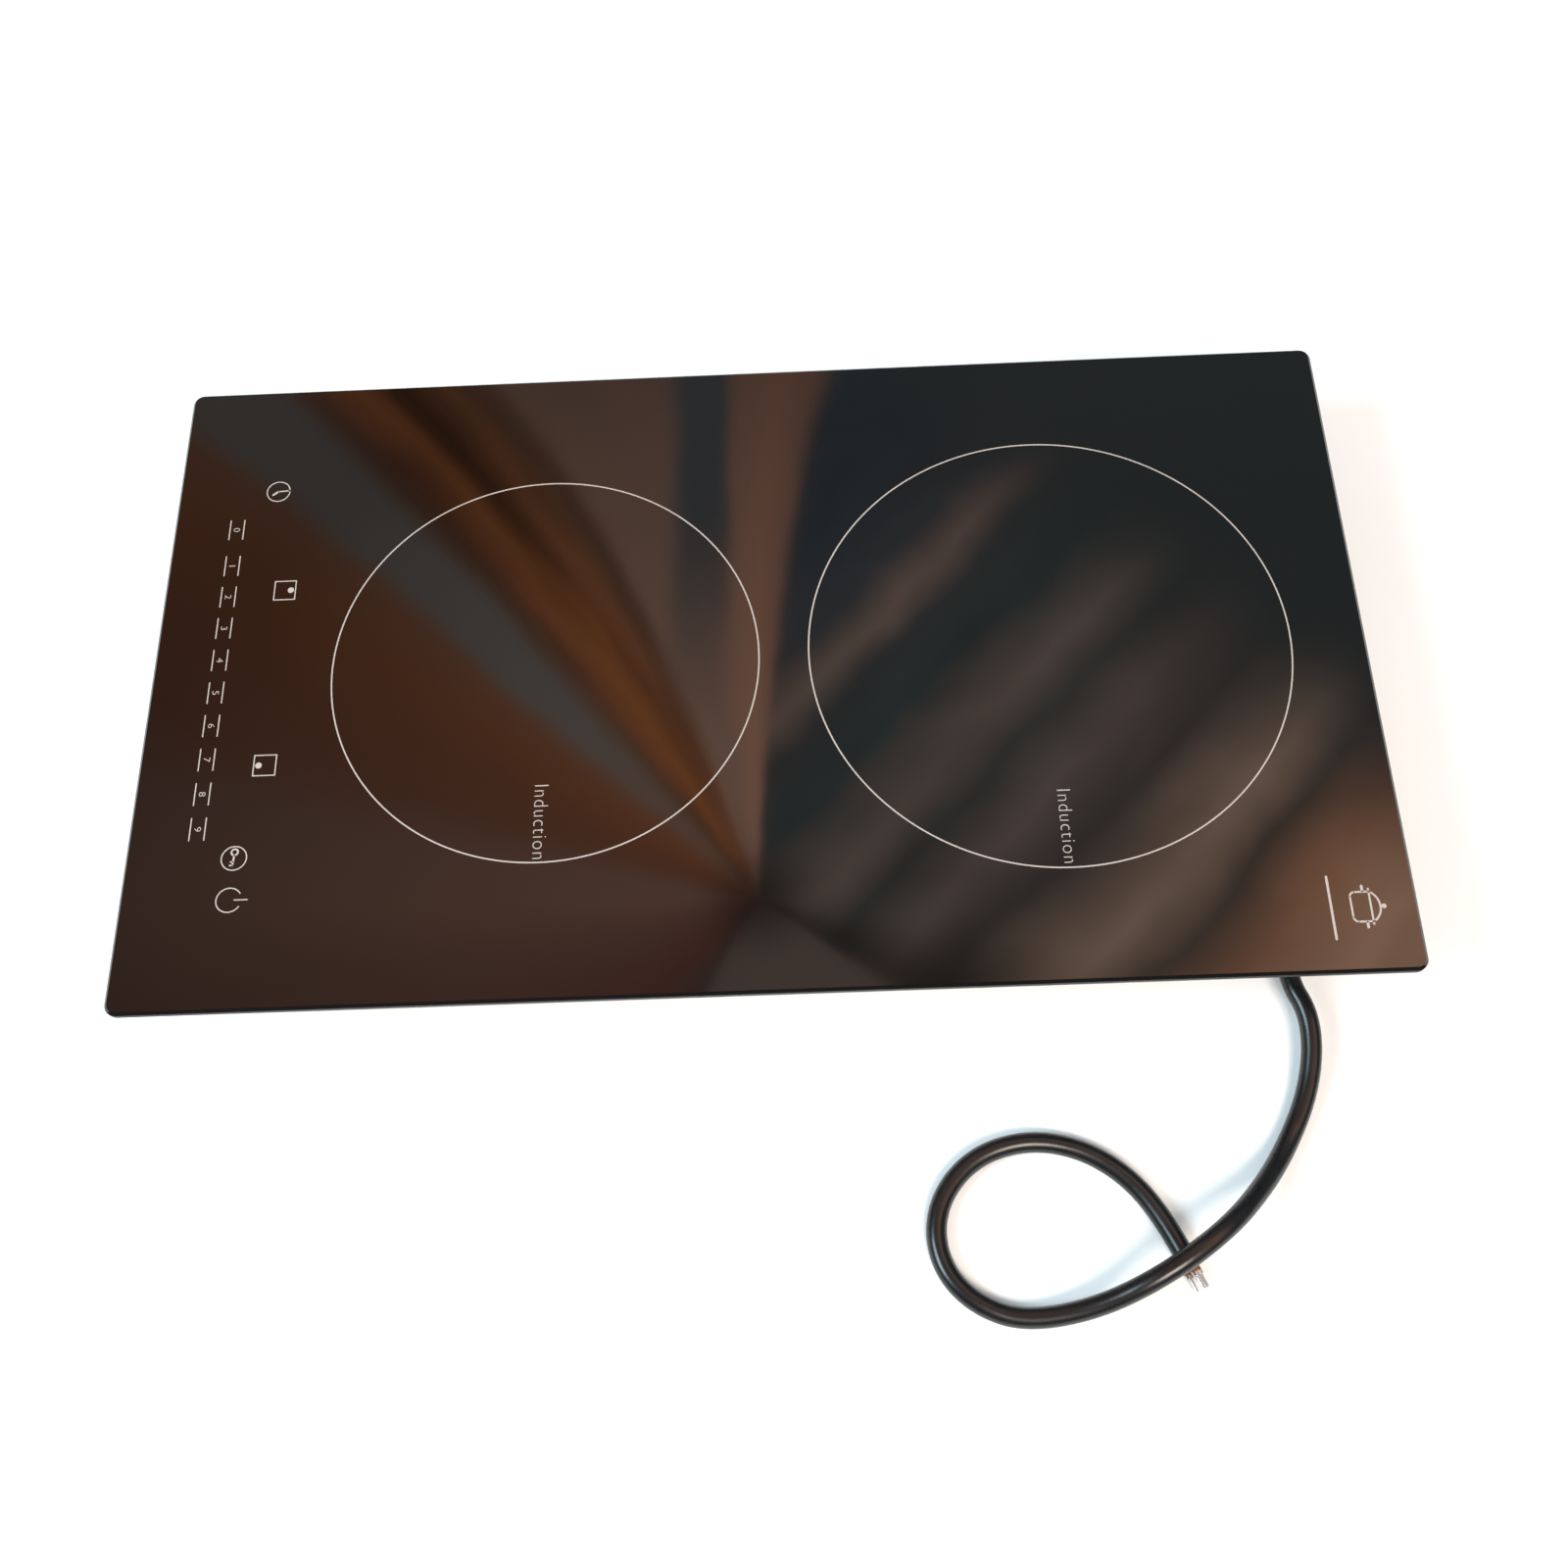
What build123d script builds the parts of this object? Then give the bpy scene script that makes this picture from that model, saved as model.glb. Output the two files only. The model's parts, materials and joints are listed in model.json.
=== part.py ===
from build123d import *
import math
import os

# Two-zone built-in induction cooktop, 30 cm wide ("domino" format).
# Frame: origin at the centre of the underside of the base pan, +Z up, +Y to the rear,
# so the touch controls are at -Y. The mains cord leaves the right side, +X. Millimetres.

os.makedirs("parts", exist_ok=True)

# ------------------------------------------------------------------ driving dimensions
WIDTH = 300.0
DEPTH = 520.0
HEIGHT = 58.0
SHEET = 0.8

GLASS_T = 4.0
GLASS_CORNER_R = 5.0
GLASS_BEVEL = 1.2
GLASS_ARRIS = 0.4
GLASS_Z = HEIGHT - GLASS_T

SEAL_T = 2.5
SEAL_INSET = 2.0
SEAL_WIDTH = 8.0
SEAL_CORNER_R = 4.0
SILICONE_INSET = 1.5
SILICONE_WIDTH = 4.0

LOWER_X, LOWER_Y = 220.0, 474.0
UPPER_X, UPPER_Y = 264.0, 484.0
PAN_R = 6.0
PAN_BEND_R = 2.0
LEDGE_Z = 24.0
LEDGE_TOP = LEDGE_Z + SHEET
WALL_TOP = 53.0
VENT_W = 3.6
INTAKE_LENGTH, INTAKE_PITCH, INTAKE_COUNT = 50.0, 7.5, 7
OUTLET_LENGTH, OUTLET_PITCH, OUTLET_Z = 14.0, 9.0, 13.0
FRONT_OUTLETS = 18
LEFT_OUTLETS, LEFT_OUTLET_Y = 14, -70.0
BEAD_X = (-60.0, -20.0, 20.0, 60.0)
BEAD_Y, BEAD_LENGTH, BEAD_W = -70.0, 280.0, 10.0
BEAD_RISE, BEAD_DRAFT = 2.2, 25.0
PLATE_SIZE = (64.0, 16.0)
PLATE_YZ = (60.0, 12.0)
PLATE_T = 0.3

FRAME_GAP = 0.1
FRAME_T = 1.0
FRAME_Z = 38.0
FRAME_TOP = 53.4
FRAME_FLANGE = 7.0
FRAME_X = UPPER_X - 2 * (SHEET + FRAME_GAP)
FRAME_Y = UPPER_Y - 2 * (SHEET + FRAME_GAP)

ZONE_Y = {"front": -89.8, "rear": 125.8}
WINDING_R = {"front": 80.0, "rear": 90.0}
WINDING_BORE_R = 22.0
WINDING_T = 4.0
WINDING_PITCH = 4.0
GROOVE_DEPTH = 1.2
MICA_T = 0.5
MICA_BORE_R = 8.5
MICA_MARGIN = 1.0
WINDING_Z = GLASS_Z - MICA_T - WINDING_T
CARRIER_T = 6.0
CARRIER_Z = WINDING_Z - CARRIER_T
CARRIER_MARGIN = 5.0
CARRIER_BORE_R = 7.4
FERRITE_T = 4.0
FERRITE_W = 10.0
FERRITE_INNER_R = 31.0
FERRITE_COUNT = 8
FERRITE_TURN = 22.5
FIT = 0.1
SENSOR_R = 6.0
SENSOR_FLANGE_R, SENSOR_FLANGE_T = 7.2, 2.0
SENSOR_WIRE_X, SENSOR_WIRE_R = 2.0, 0.8
LEAD_R = 1.6
LEAD_Z = WINDING_Z + LEAD_R + 0.2
LEAD_END_Z = 12.0
LEAD_SPREAD = 6.0
LEAD_OVERHANG = 6.0
LEAD_BEND_R = 5.0
LEAD_HEADING = {"front": 180.0, "rear": 225.0}

TRAY_X, TRAY_Y = 250.0, 472.0
TRAY_T = 1.0
TRAY_Z = 36.0
TRAY_TOP = TRAY_Z + TRAY_T
TRAY_FOOT = (11.0, 14.0)
TRAY_SCREW_X = 119.0
TRAY_SCREW_Y = (-185.0, 0.0, 185.0)
TRAY_SCREW_XY = [(x, y) for x in (-TRAY_SCREW_X, TRAY_SCREW_X) for y in TRAY_SCREW_Y]
TRAY_SCREW_TAIL = 1.5
TRAY_VENT_R, TRAY_VENT_RING_R, TRAY_VENTS = 3.0, 34.0, 8
TRAY_LEAD_HOLE_R = 4.0
SPRING_RING_R = 60.0
CARRIER_SPRING_R = 4.0
TOUCH_SPRING_R = 3.0
SPRING_WALL = 0.5
SPRING_FOLD = 0.6
SPRING_FOLDS = 5

BOARD_Z = 7.0
BOARD_T = 1.6
BOARD_TOP = BOARD_Z + BOARD_T
BOARD_X = 196.0
BOARD_Y0, BOARD_Y1 = -205.0, 80.0
STANDOFF_XY = [(x, y) for x in (-90.0, 90.0) for y in (-195.0, -60.0, 70.0)]
STANDOFF_R = 3.5
BOARD_SCREW_END_Z = 2.0
RIBBON_Y = -201.0
RIBBON_SIZE = (20.0, 0.9)
RIBBON_PLUG = (26.0, 7.0, 6.0)
FAN_PLUG = (12.0, 8.0, 6.0)
FAN_PLUG_XY = (22.0, 72.0)
LEAD_PLUG = (8.0, 8.0)
MAINS_PLUG = (24.0, 14.0, 9.0)
MAINS_PLUG_XY = (59.0, 70.0)

FAN_X, FAN_Y = -5.0, 148.0
FAN_R = 48.0
FAN_WALL = 1.6
FAN_Z0, FAN_Z1 = SHEET, 27.0
FAN_MOUTH_Y = FAN_Y - 54.0
FAN_MOUTH_X = (-53.0, -1.0)
FAN_INLET_R = 30.0
BLADE_COUNT = 24
BLADE_SIZE = (9.0, 1.2)
BLADE_TURN = 30.0
IMPELLER_R = 36.0
IMPELLER_WALL = 1.5
IMPELLER_RIM_W = 2.5
BLADE_Z = 5.0
BACK_DISC_Z = 19.5
CUP_Z = 6.0
CUP_OUTER_R, CUP_INNER_R = 15.6, 14.2
CUP_TOP = BACK_DISC_Z + IMPELLER_WALL
SHAFT_R = 1.5
SHAFT_TOP = 23.5
MOTOR_R = 13.4
MOTOR_Z = 8.5
MOTOR_TOP = FAN_Z1 - FAN_WALL

DUCT_X = (-58.0, 0.0)
DUCT_Y = (-42.0, FAN_MOUTH_Y - 0.3)
DUCT_Z = (BOARD_TOP + 0.4, 35.0)
DUCT_T = 1.2
DUCT_LIP_Z = 26.0

SINK_Y = (-35.0, 70.0)
SINK_SPINE_X = (-4.0, 0.0)
SINK_SPINE_Z = (BOARD_TOP + 0.1, 33.1)
SINK_FIN_X = (-54.0, -4.0)
SINK_FIN_T, SINK_FIN_Z, SINK_FIN_PITCH = 1.4, 10.4, 3.1
SINK_FINS = 8
DEVICE_Z = 12.6
DEVICE_T, DEVICE_H = 5.0, 20.0
LEG_SIZE = (0.8, 1.4)
TRANSISTOR_W = 16.0
TRANSISTOR_Y = (-28.0, -8.0, 12.0, 32.0)
RECTIFIER_W, RECTIFIER_Y = 26.0, 55.0
FILM_SIZE = (32.0, 14.0, 24.0)
FILM_XY = [(28.0, y) for y in (-26.0, -6.0, 14.0, 34.0)]
CHOKE_XY = (74.0, 26.0)
CHOKE_R, CHOKE_BORE_R, CHOKE_T = 19.5, 9.5, 14.0
CHOKE_TURNS, CHOKE_TURN_SIZE, CHOKE_TURN_H = 18, (13.0, 2.0), 18.0
CAN_XY = ((60.0, -36.0), (82.0, -36.0))
CAN_R, CAN_H, CAN_ROUND = 9.0, 24.0, 1.2
TRANSFORMER_XY = (66.0, -90.0)
TRANSFORMER_CORE = (26.0, 12.0, 20.0)
TRANSFORMER_BOBBIN = (17.0, 22.0, 12.0)
BOBBIN_LIFT = 4.0

CONTROL_Y = -217.5
CONTROL_Z = 46.0
CONTROL_T = 1.6
CONTROL_TOP = CONTROL_Z + CONTROL_T
BRACKET_SIZE = (228.0, 44.0)
BRACKET_WALL = 3.0
BRACKET_RIB_X = (-60.0, 60.0)
BRACKET_RIB_T = 2.0
CONTROL_SIZE = (224.0, 41.0)
DISPLAY_SIZE = (14.0, 10.0, 5.4)
DISPLAY_OFFSET = 22.0
BUZZER_X, BUZZER_R, BUZZER_H = -30.0, 6.0, 6.0
ZERO_X = -74.0
ONE_X = -55.1
DIGIT_PITCH = 15.85
DIGIT_Y = -230.5
DIGIT_XY = [(ZERO_X, DIGIT_Y)] + [(ONE_X + i * DIGIT_PITCH, DIGIT_Y) for i in range(9)]
TIMER_XY = (-93.7, -214.4)
REAR_SELECT_XY = (-41.35, -206.25)
FRONT_SELECT_XY = (43.6, -206.4)
LOCK_XY = (85.1, -214.8)
POWER_XY = (103.4, -214.9)

GLAND_Y, GLAND_Z = 218.0, 12.0
GLAND_INNER_X = 100.0
GLAND_TIP_X = 126.0
GLAND_THREAD_R = 7.0
GLAND_HOLE_R = 7.2
GLAND_FLANGE_R, GLAND_FLANGE_T = 9.5, 2.5
GLAND_CAP_R, GLAND_CAP_T = 8.2, 7.0
GLAND_SHOULDER_R, GLAND_SHOULDER_T = 7.2, 8.5
GLAND_LIP = 0.8
GLAND_RIBS, GLAND_RIB_R = 12, 0.7
GLAND_NUT_R, GLAND_NUT_T, GLAND_NUT_BORE_R = 8.8, 5.0, 7.1
CORD_D = 8.4
SHEATH_END_X = 84.0
SADDLE_X, SADDLE_T, SADDLE_W, SADDLE_RISE, SADDLE_ROUND = 88.0, 8.0, 20.0, 8.0, 3.0
WIRE_R = 1.15
WIRE_BEND_R = 1.5
WIRE_SPREAD = (-2.5, 0.0, 2.5)
WIRE_STUB = 3.0
TERMINAL_Y = (205.0, 213.5, 222.0)
TERMINAL_X = (50.0, 68.0)
TERMINAL_W = 27.0
TERMINAL_TOP = 20.8
TERMINAL_WELL_R, TERMINAL_WELL_DEPTH = 2.6, 4.0
TERMINAL_SCREW_R, TERMINAL_SCREW_T = 2.5, 2.5
DRIVER_SLOT = (4.4, 0.8)
DRIVER_DEPTH = 0.8
BOARD_LEAD_X = (54.0, 59.0, 64.0)
BOARD_LEAD_GAP = 5.0
CORE_R = 1.3
CORE_LENGTH = 6.0
CORE_OFFSETS = [(-1.2, -2.3), (-1.2, 2.3), (1.8, 0.0)]
FERRULE_COLLAR_R, FERRULE_COLLAR_T = 1.5, 1.6
FERRULE_PIN_R, FERRULE_LENGTH = 0.8, 7.0

CLAMP_X, CLAMP_Y = 121.0, 140.0
CLAMP_Z = 20.2
CLAMP_T = 1.6
CLAMP_REACH = 26.0
CLAMP_HALF_WIDTH = 6.0
CLAMP_HOLE_R = 2.3
CLAMP_TOOTH = (7.0, 2.0, 1.2)
CLAMP_TOOTH_INSET = 4.5
CLAMP_GAP = 0.2
CLAMP_SCREW_R, CLAMP_SCREW_LENGTH = 2.0, 7.5
CLAMP_HEAD_R, CLAMP_HEAD_T = 4.0, 2.8
CLAMP_HEX_R, CLAMP_HEX_DEPTH = 1.8, 1.6
CLAMP_HEAD_Z = CLAMP_Z - CLAMP_GAP
NUT_FLANGE_R, NUT_R, NUT_BORE_R, NUT_TAIL = 4.5, 3.0, 2.05, 4.0
NUT_FLANGE_Z = CLAMP_Z + CLAMP_T + CLAMP_GAP

SCREW_R = 1.5
SCREW_HOLE_R = SCREW_R + FIT / 2
SCREW_HEAD_R = 2.8
SCREW_HEAD_T = 1.6
SIDE_SCREW_Z = 46.0
SIDE_SCREW_LENGTH = 2.4
SIDE_SCREW_HEAD_T = 1.4
SIDE_SCREW_Y = (-150.0, 0.0, 150.0)
SIDE_SCREW_X = (-80.0, 80.0)
CROSS_SLOT = (3.0, 0.8)
CROSS_DEPTH = 0.9

# Cord centreline: out of the gland, down to the surface, over its own end and round the loop.
CORD_ROUTE = [
    (126, 218, 12),
    (139, 218, 12),
    (152, 223.8, 12),
    (168, 224, 10),
    (186, 219.5, 6.2),
    (204, 210, 4.5),
    (221, 197, 10.5),
    (239, 178, 22.5),
    (255.5, 152.5, 22.5),
    (266.5, 126, 10),
    (270, 98, 4.2),
    (263.5, 80, 4.2),
    (251, 68, 4.2),
    (234, 64.5, 4.2),
    (217.5, 70.5, 4.2),
    (204.5, 85, 4.2),
    (199.5, 106, 4.2),
    (204, 127, 4.2),
    (216, 144.5, 4.2),
    (233, 156.5, 4.2),
    (248, 163, 4.2),
]


# ------------------------------------------------------------------ helpers
def finish(builder, label):
    """Label a finished piece and write its STEP file."""
    builder.part.label = label
    export_step(builder.part, f"parts/{label}.step")


def ring_sketch(outer_x, outer_y, width, radius):
    """Rounded rectangular ring, drawn in the sketch that is open."""
    RectangleRounded(outer_x, outer_y, radius)
    RectangleRounded(outer_x - 2 * width, outer_y - 2 * width, max(radius - width, 1.0), mode=Mode.SUBTRACT)


def corrugated_spring(radius, low, high, places):
    """A small spring, drawn as a zigzag tube, at each place, all in one node."""
    step = (high - low) / (2 * SPRING_FOLDS)
    outer = [(radius - SPRING_FOLD * (i % 2), low + i * step) for i in range(2 * SPRING_FOLDS + 1)]
    inner = [(r - SPRING_WALL, z) for r, z in reversed(outer)]
    with BuildPart() as spring:
        with BuildSketch(Plane.XZ):
            with BuildLine():
                Polyline(*outer, *inner, close=True)
            make_face()
        revolve(axis=Axis.Z)
    with BuildPart() as springs:
        with Locations(*[(x, y, 0) for x, y in places]):
            add(spring.part)
    return springs


def wire(points, radius, bend):
    """Round wire or tube along straight runs joined by tangent arcs."""
    start = Vector(*points[0])
    heading = Vector(*points[1]) - start
    with BuildPart() as wire_part:
        with BuildLine():
            if len(points) == 2:
                Line(*points)
            else:
                FilletPolyline(*points, radius=bend)
        with BuildSketch(Plane(origin=start, z_dir=heading)):
            Circle(radius)
        sweep()
    return wire_part.part


# ------------------------------------------------------------------ glass top and its seals
with BuildPart() as glass_plate:
    with BuildSketch(Plane.XY.offset(GLASS_Z)):
        RectangleRounded(WIDTH, DEPTH, GLASS_CORNER_R)
    extrude(amount=GLASS_T)
    chamfer(glass_plate.faces().sort_by(Axis.Z)[-1].edges(), GLASS_BEVEL)
    chamfer(glass_plate.faces().sort_by(Axis.Z)[0].edges(), GLASS_ARRIS)
finish(glass_plate, "glass_plate")

with BuildPart() as glass_seal:
    with BuildSketch(Plane.XY.offset(GLASS_Z - SEAL_T)):
        ring_sketch(WIDTH - 2 * SEAL_INSET, DEPTH - 2 * SEAL_INSET, SEAL_WIDTH, SEAL_CORNER_R)
    extrude(amount=SEAL_T)
finish(glass_seal, "glass_seal")

with BuildPart() as silicone_bead:
    with BuildSketch(Plane.XY.offset(FRAME_TOP)):
        silicone_x = FRAME_X - 2 * SILICONE_INSET
        silicone_y = FRAME_Y - 2 * SILICONE_INSET
        ring_sketch(silicone_x, silicone_y, SILICONE_WIDTH, SEAL_CORNER_R)
    extrude(amount=GLASS_Z - FRAME_TOP)
finish(silicone_bead, "silicone_bead")

# ------------------------------------------------------------------ support frame and base pan
SIDE_POINTS = [(y, SIDE_SCREW_Z) for y in SIDE_SCREW_Y]
END_POINTS = [(x, SIDE_SCREW_Z) for x in SIDE_SCREW_X]


def side_drills(radius):
    """Long cylinders that cut the screw holes through both side walls and both end walls."""
    with BuildPart() as drills:
        with BuildSketch(Plane.YZ):
            with Locations(*SIDE_POINTS):
                Circle(radius)
        extrude(amount=WIDTH / 2, both=True)
        with BuildSketch(Plane.XZ):
            with Locations(*END_POINTS):
                Circle(radius)
        extrude(amount=DEPTH / 2, both=True)
    return drills.part


with BuildPart() as support_frame:
    with BuildSketch(Plane.XY.offset(FRAME_Z)):
        ring_sketch(FRAME_X, FRAME_Y, FRAME_T, PAN_R - SHEET - FRAME_GAP)
    extrude(amount=FRAME_TOP - FRAME_Z)
    with BuildSketch(Plane.XY.offset(FRAME_TOP - FRAME_T)):
        ring_sketch(FRAME_X, FRAME_Y, FRAME_FLANGE, PAN_R - SHEET - FRAME_GAP)
    extrude(amount=FRAME_T)
    add(side_drills(SCREW_HOLE_R), mode=Mode.SUBTRACT)
finish(support_frame, "support_frame")


def stepped_tub(inset):
    """Solid of the pan's outline, set in from its outside by inset, with rounded lower edges."""
    with BuildPart() as tub:
        with BuildSketch(Plane.XY.offset(LEDGE_Z + inset)):
            RectangleRounded(UPPER_X - 2 * inset, UPPER_Y - 2 * inset, PAN_R - inset)
        extrude(amount=WALL_TOP - LEDGE_Z - inset)
        fillet(tub.edges().group_by(Axis.Z)[0], PAN_BEND_R - inset)
        with BuildSketch(Plane.XY.offset(inset)):
            RectangleRounded(LOWER_X - 2 * inset, LOWER_Y - 2 * inset, PAN_R - inset)
        extrude(amount=LEDGE_TOP)
        fillet(tub.edges().group_by(Axis.Z)[0], PAN_BEND_R - inset)
    return tub.part


with BuildPart() as base_pan:
    add(stepped_tub(0))
    add(stepped_tub(SHEET), mode=Mode.SUBTRACT)
    # air intake under the fan
    with BuildSketch():
        with Locations((FAN_X, FAN_Y)):
            with GridLocations(0, INTAKE_PITCH, 1, INTAKE_COUNT):
                SlotOverall(INTAKE_LENGTH, VENT_W)
    extrude(amount=SHEET, mode=Mode.SUBTRACT)
    # stiffening beads pressed up into the floor
    with BuildSketch(Plane.XY.offset(SHEET)):
        with Locations(*[(x, BEAD_Y) for x in BEAD_X]):
            SlotOverall(BEAD_LENGTH, BEAD_W, rotation=90)
    extrude(amount=BEAD_RISE, taper=BEAD_DRAFT)
    with BuildSketch():
        with Locations(*[(x, BEAD_Y) for x in BEAD_X]):
            SlotOverall(BEAD_LENGTH - SHEET, BEAD_W - SHEET, rotation=90)
    extrude(amount=BEAD_RISE, taper=BEAD_DRAFT, mode=Mode.SUBTRACT)
    # air outlets in the front wall and the left wall
    with BuildSketch(Plane.XZ.offset(LOWER_Y / 2 - SHEET)):
        with Locations((0, OUTLET_Z)):
            with GridLocations(OUTLET_PITCH, 0, FRONT_OUTLETS, 1):
                SlotOverall(OUTLET_LENGTH, VENT_W, rotation=90)
    extrude(amount=SHEET, mode=Mode.SUBTRACT)
    with BuildSketch(Plane.YZ.offset(-LOWER_X / 2)):
        with Locations((LEFT_OUTLET_Y, OUTLET_Z)):
            with GridLocations(OUTLET_PITCH, 0, LEFT_OUTLETS, 1):
                SlotOverall(OUTLET_LENGTH, VENT_W, rotation=90)
    extrude(amount=SHEET, mode=Mode.SUBTRACT)
    # cord gland hole in the right wall
    with BuildSketch(Plane.YZ.offset(LOWER_X / 2 - SHEET)):
        with Locations((GLAND_Y, GLAND_Z)):
            Circle(GLAND_HOLE_R)
    extrude(amount=SHEET, mode=Mode.SUBTRACT)
    # ledge holes for the clamp nuts and the coil tray's screws
    with BuildSketch(Plane.XY.offset(LEDGE_Z)):
        with GridLocations(2 * CLAMP_X, 2 * CLAMP_Y, 2, 2):
            Circle(NUT_R + FIT / 2)
        with Locations(*TRAY_SCREW_XY):
            Circle(SCREW_HOLE_R)
    extrude(amount=SHEET, mode=Mode.SUBTRACT)
    add(side_drills(SCREW_R + FIT), mode=Mode.SUBTRACT)
finish(base_pan, "base_pan")

with BuildPart() as side_screws:
    for side in (1, -1):
        for wall_plane, wall, points in (
            (Plane.YZ, UPPER_X / 2, SIDE_POINTS),
            (Plane.XZ, UPPER_Y / 2, END_POINTS),
        ):
            with BuildSketch(wall_plane.offset(side * wall)):
                with Locations(*points):
                    Circle(SCREW_HEAD_R)
            extrude(amount=side * SIDE_SCREW_HEAD_T)
            with BuildSketch(wall_plane.offset(side * wall)):
                with Locations(*points):
                    Circle(SCREW_R)
            extrude(amount=-side * SIDE_SCREW_LENGTH)
            # crossed driver slots in the heads
            with BuildSketch(wall_plane.offset(side * (wall + SIDE_SCREW_HEAD_T))):
                with Locations(*points):
                    Rectangle(*CROSS_SLOT)
                    Rectangle(*reversed(CROSS_SLOT))
            extrude(amount=-side * CROSS_DEPTH, mode=Mode.SUBTRACT)
finish(side_screws, "side_screws")

with BuildPart() as rating_plate:
    with BuildSketch(Plane.YZ.offset(LOWER_X / 2)):
        with Locations(PLATE_YZ):
            RectangleRounded(*PLATE_SIZE, 2.0)
    extrude(amount=PLATE_T)
finish(rating_plate, "rating_plate")

# ------------------------------------------------------------------ coils under the glass
def build_winding(y, outer_r):
    """Flat spiral winding as an annulus with one groove between each pair of turns."""
    turns = int((outer_r - WINDING_BORE_R) / WINDING_PITCH)
    pitch = (outer_r - WINDING_BORE_R) / turns
    top = WINDING_Z + WINDING_T
    crest = []
    for i in range(turns):
        r = WINDING_BORE_R + i * pitch
        crest += [(r, top - GROOVE_DEPTH), (r + 0.25 * pitch, top), (r + 0.75 * pitch, top)]
    crest.append((outer_r, top - GROOVE_DEPTH))
    with BuildPart() as winding:
        with BuildSketch(Plane.XZ.offset(-y)):
            with BuildLine():
                Polyline((outer_r, WINDING_Z), (WINDING_BORE_R, WINDING_Z), *crest, close=True)
            make_face()
        revolve(axis=Axis((0, y, 0), (0, 0, 1)))
    return winding


def build_carrier(y, winding_r):
    """Plastic coil carrier disc with radial pockets for the ferrite bars underneath."""
    length = winding_r - CARRIER_MARGIN - FERRITE_INNER_R
    middle = FERRITE_INNER_R + length / 2
    with BuildPart() as carrier:
        with BuildSketch(Plane.XY.offset(CARRIER_Z)):
            with Locations((0, y)):
                Circle(winding_r + CARRIER_MARGIN)
                Circle(CARRIER_BORE_R, mode=Mode.SUBTRACT)
        extrude(amount=CARRIER_T)
        with BuildSketch(Plane.XY.offset(CARRIER_Z)):
            with Locations((0, y)):
                with PolarLocations(middle, FERRITE_COUNT, start_angle=FERRITE_TURN):
                    Rectangle(length + 4 * FIT, FERRITE_W + 4 * FIT)
        extrude(amount=FERRITE_T, mode=Mode.SUBTRACT)
    return carrier


def build_ferrites(y, winding_r):
    """Radial ferrite bars in the carrier's pockets."""
    length = winding_r - CARRIER_MARGIN - FERRITE_INNER_R
    middle = FERRITE_INNER_R + length / 2
    with BuildPart() as bars:
        with BuildSketch(Plane.XY.offset(CARRIER_Z + FIT)):
            with Locations((0, y)):
                with PolarLocations(middle, FERRITE_COUNT, start_angle=FERRITE_TURN):
                    Rectangle(length, FERRITE_W)
        extrude(amount=FERRITE_T - FIT)
    return bars


def build_mica(y, winding_r):
    """Mica insulating disc between winding and glass."""
    with BuildPart() as mica:
        with BuildSketch(Plane.XY.offset(GLASS_Z - MICA_T)):
            with Locations((0, y)):
                Circle(winding_r + MICA_MARGIN)
                Circle(MICA_BORE_R, mode=Mode.SUBTRACT)
        extrude(amount=MICA_T)
    return mica


def build_sensor(y):
    """Glass temperature sensor in the bore of the carrier, with its two wires to the tray."""
    with BuildPart() as sensor:
        with BuildSketch(Plane.XY.offset(CARRIER_Z)):
            with Locations((0, y)):
                Circle(SENSOR_FLANGE_R)
        extrude(amount=SENSOR_FLANGE_T)
        with BuildSketch(Plane.XY.offset(CARRIER_Z)):
            with Locations((0, y)):
                Circle(SENSOR_R)
        extrude(amount=GLASS_Z - CARRIER_Z)
        with BuildSketch(Plane.XY.offset(TRAY_TOP)):
            with Locations((-SENSOR_WIRE_X, y), (SENSOR_WIRE_X, y)):
                Circle(SENSOR_WIRE_R)
        extrude(amount=CARRIER_Z - TRAY_TOP)
    return sensor


for zone, zone_y in ZONE_Y.items():
    finish(build_carrier(zone_y, WINDING_R[zone]), f"coil_carrier_{zone}")
    finish(build_winding(zone_y, WINDING_R[zone]), f"coil_winding_{zone}")
    finish(build_ferrites(zone_y, WINDING_R[zone]), f"ferrite_bars_{zone}")
    finish(build_mica(zone_y, WINDING_R[zone]), f"mica_sheet_{zone}")
    finish(build_sensor(zone_y), f"temp_sensor_{zone}")

spring_places = [
    (SPRING_RING_R * dx, zone_y + SPRING_RING_R * dy)
    for zone_y in ZONE_Y.values()
    for dx, dy in ((1, 0), (0, 1), (-1, 0), (0, -1))
]
carrier_springs = corrugated_spring(CARRIER_SPRING_R, TRAY_TOP, CARRIER_Z, spring_places)
finish(carrier_springs, "carrier_springs")


# Leads: over the carrier's edge, then straight down through the tray to the power board.
def lead_points(y, winding_r, heading, offset):
    """Route of one coil lead, leaving the winding's rim at the heading angle."""
    along = Vector(math.cos(math.radians(heading)), math.sin(math.radians(heading)), 0)
    across = Vector(-along.Y, along.X, 0)
    centre = Vector(0, y, LEAD_Z) + across * offset
    start = centre + along * winding_r
    corner = centre + along * (winding_r + CARRIER_MARGIN + LEAD_OVERHANG)
    return [tuple(start), tuple(corner), (corner.X, corner.Y, LEAD_END_Z)]


lead_routes = {
    zone: [lead_points(zone_y, WINDING_R[zone], LEAD_HEADING[zone], side * LEAD_SPREAD) for side in (-1, 1)]
    for zone, zone_y in ZONE_Y.items()
}
for zone, routes in lead_routes.items():
    with BuildPart() as coil_leads:
        for route in routes:
            add(wire(route, LEAD_R, LEAD_BEND_R))
    finish(coil_leads, f"coil_leads_{zone}")
lead_feet = [(route[-1][0], route[-1][1]) for routes in lead_routes.values() for route in routes]

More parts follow.
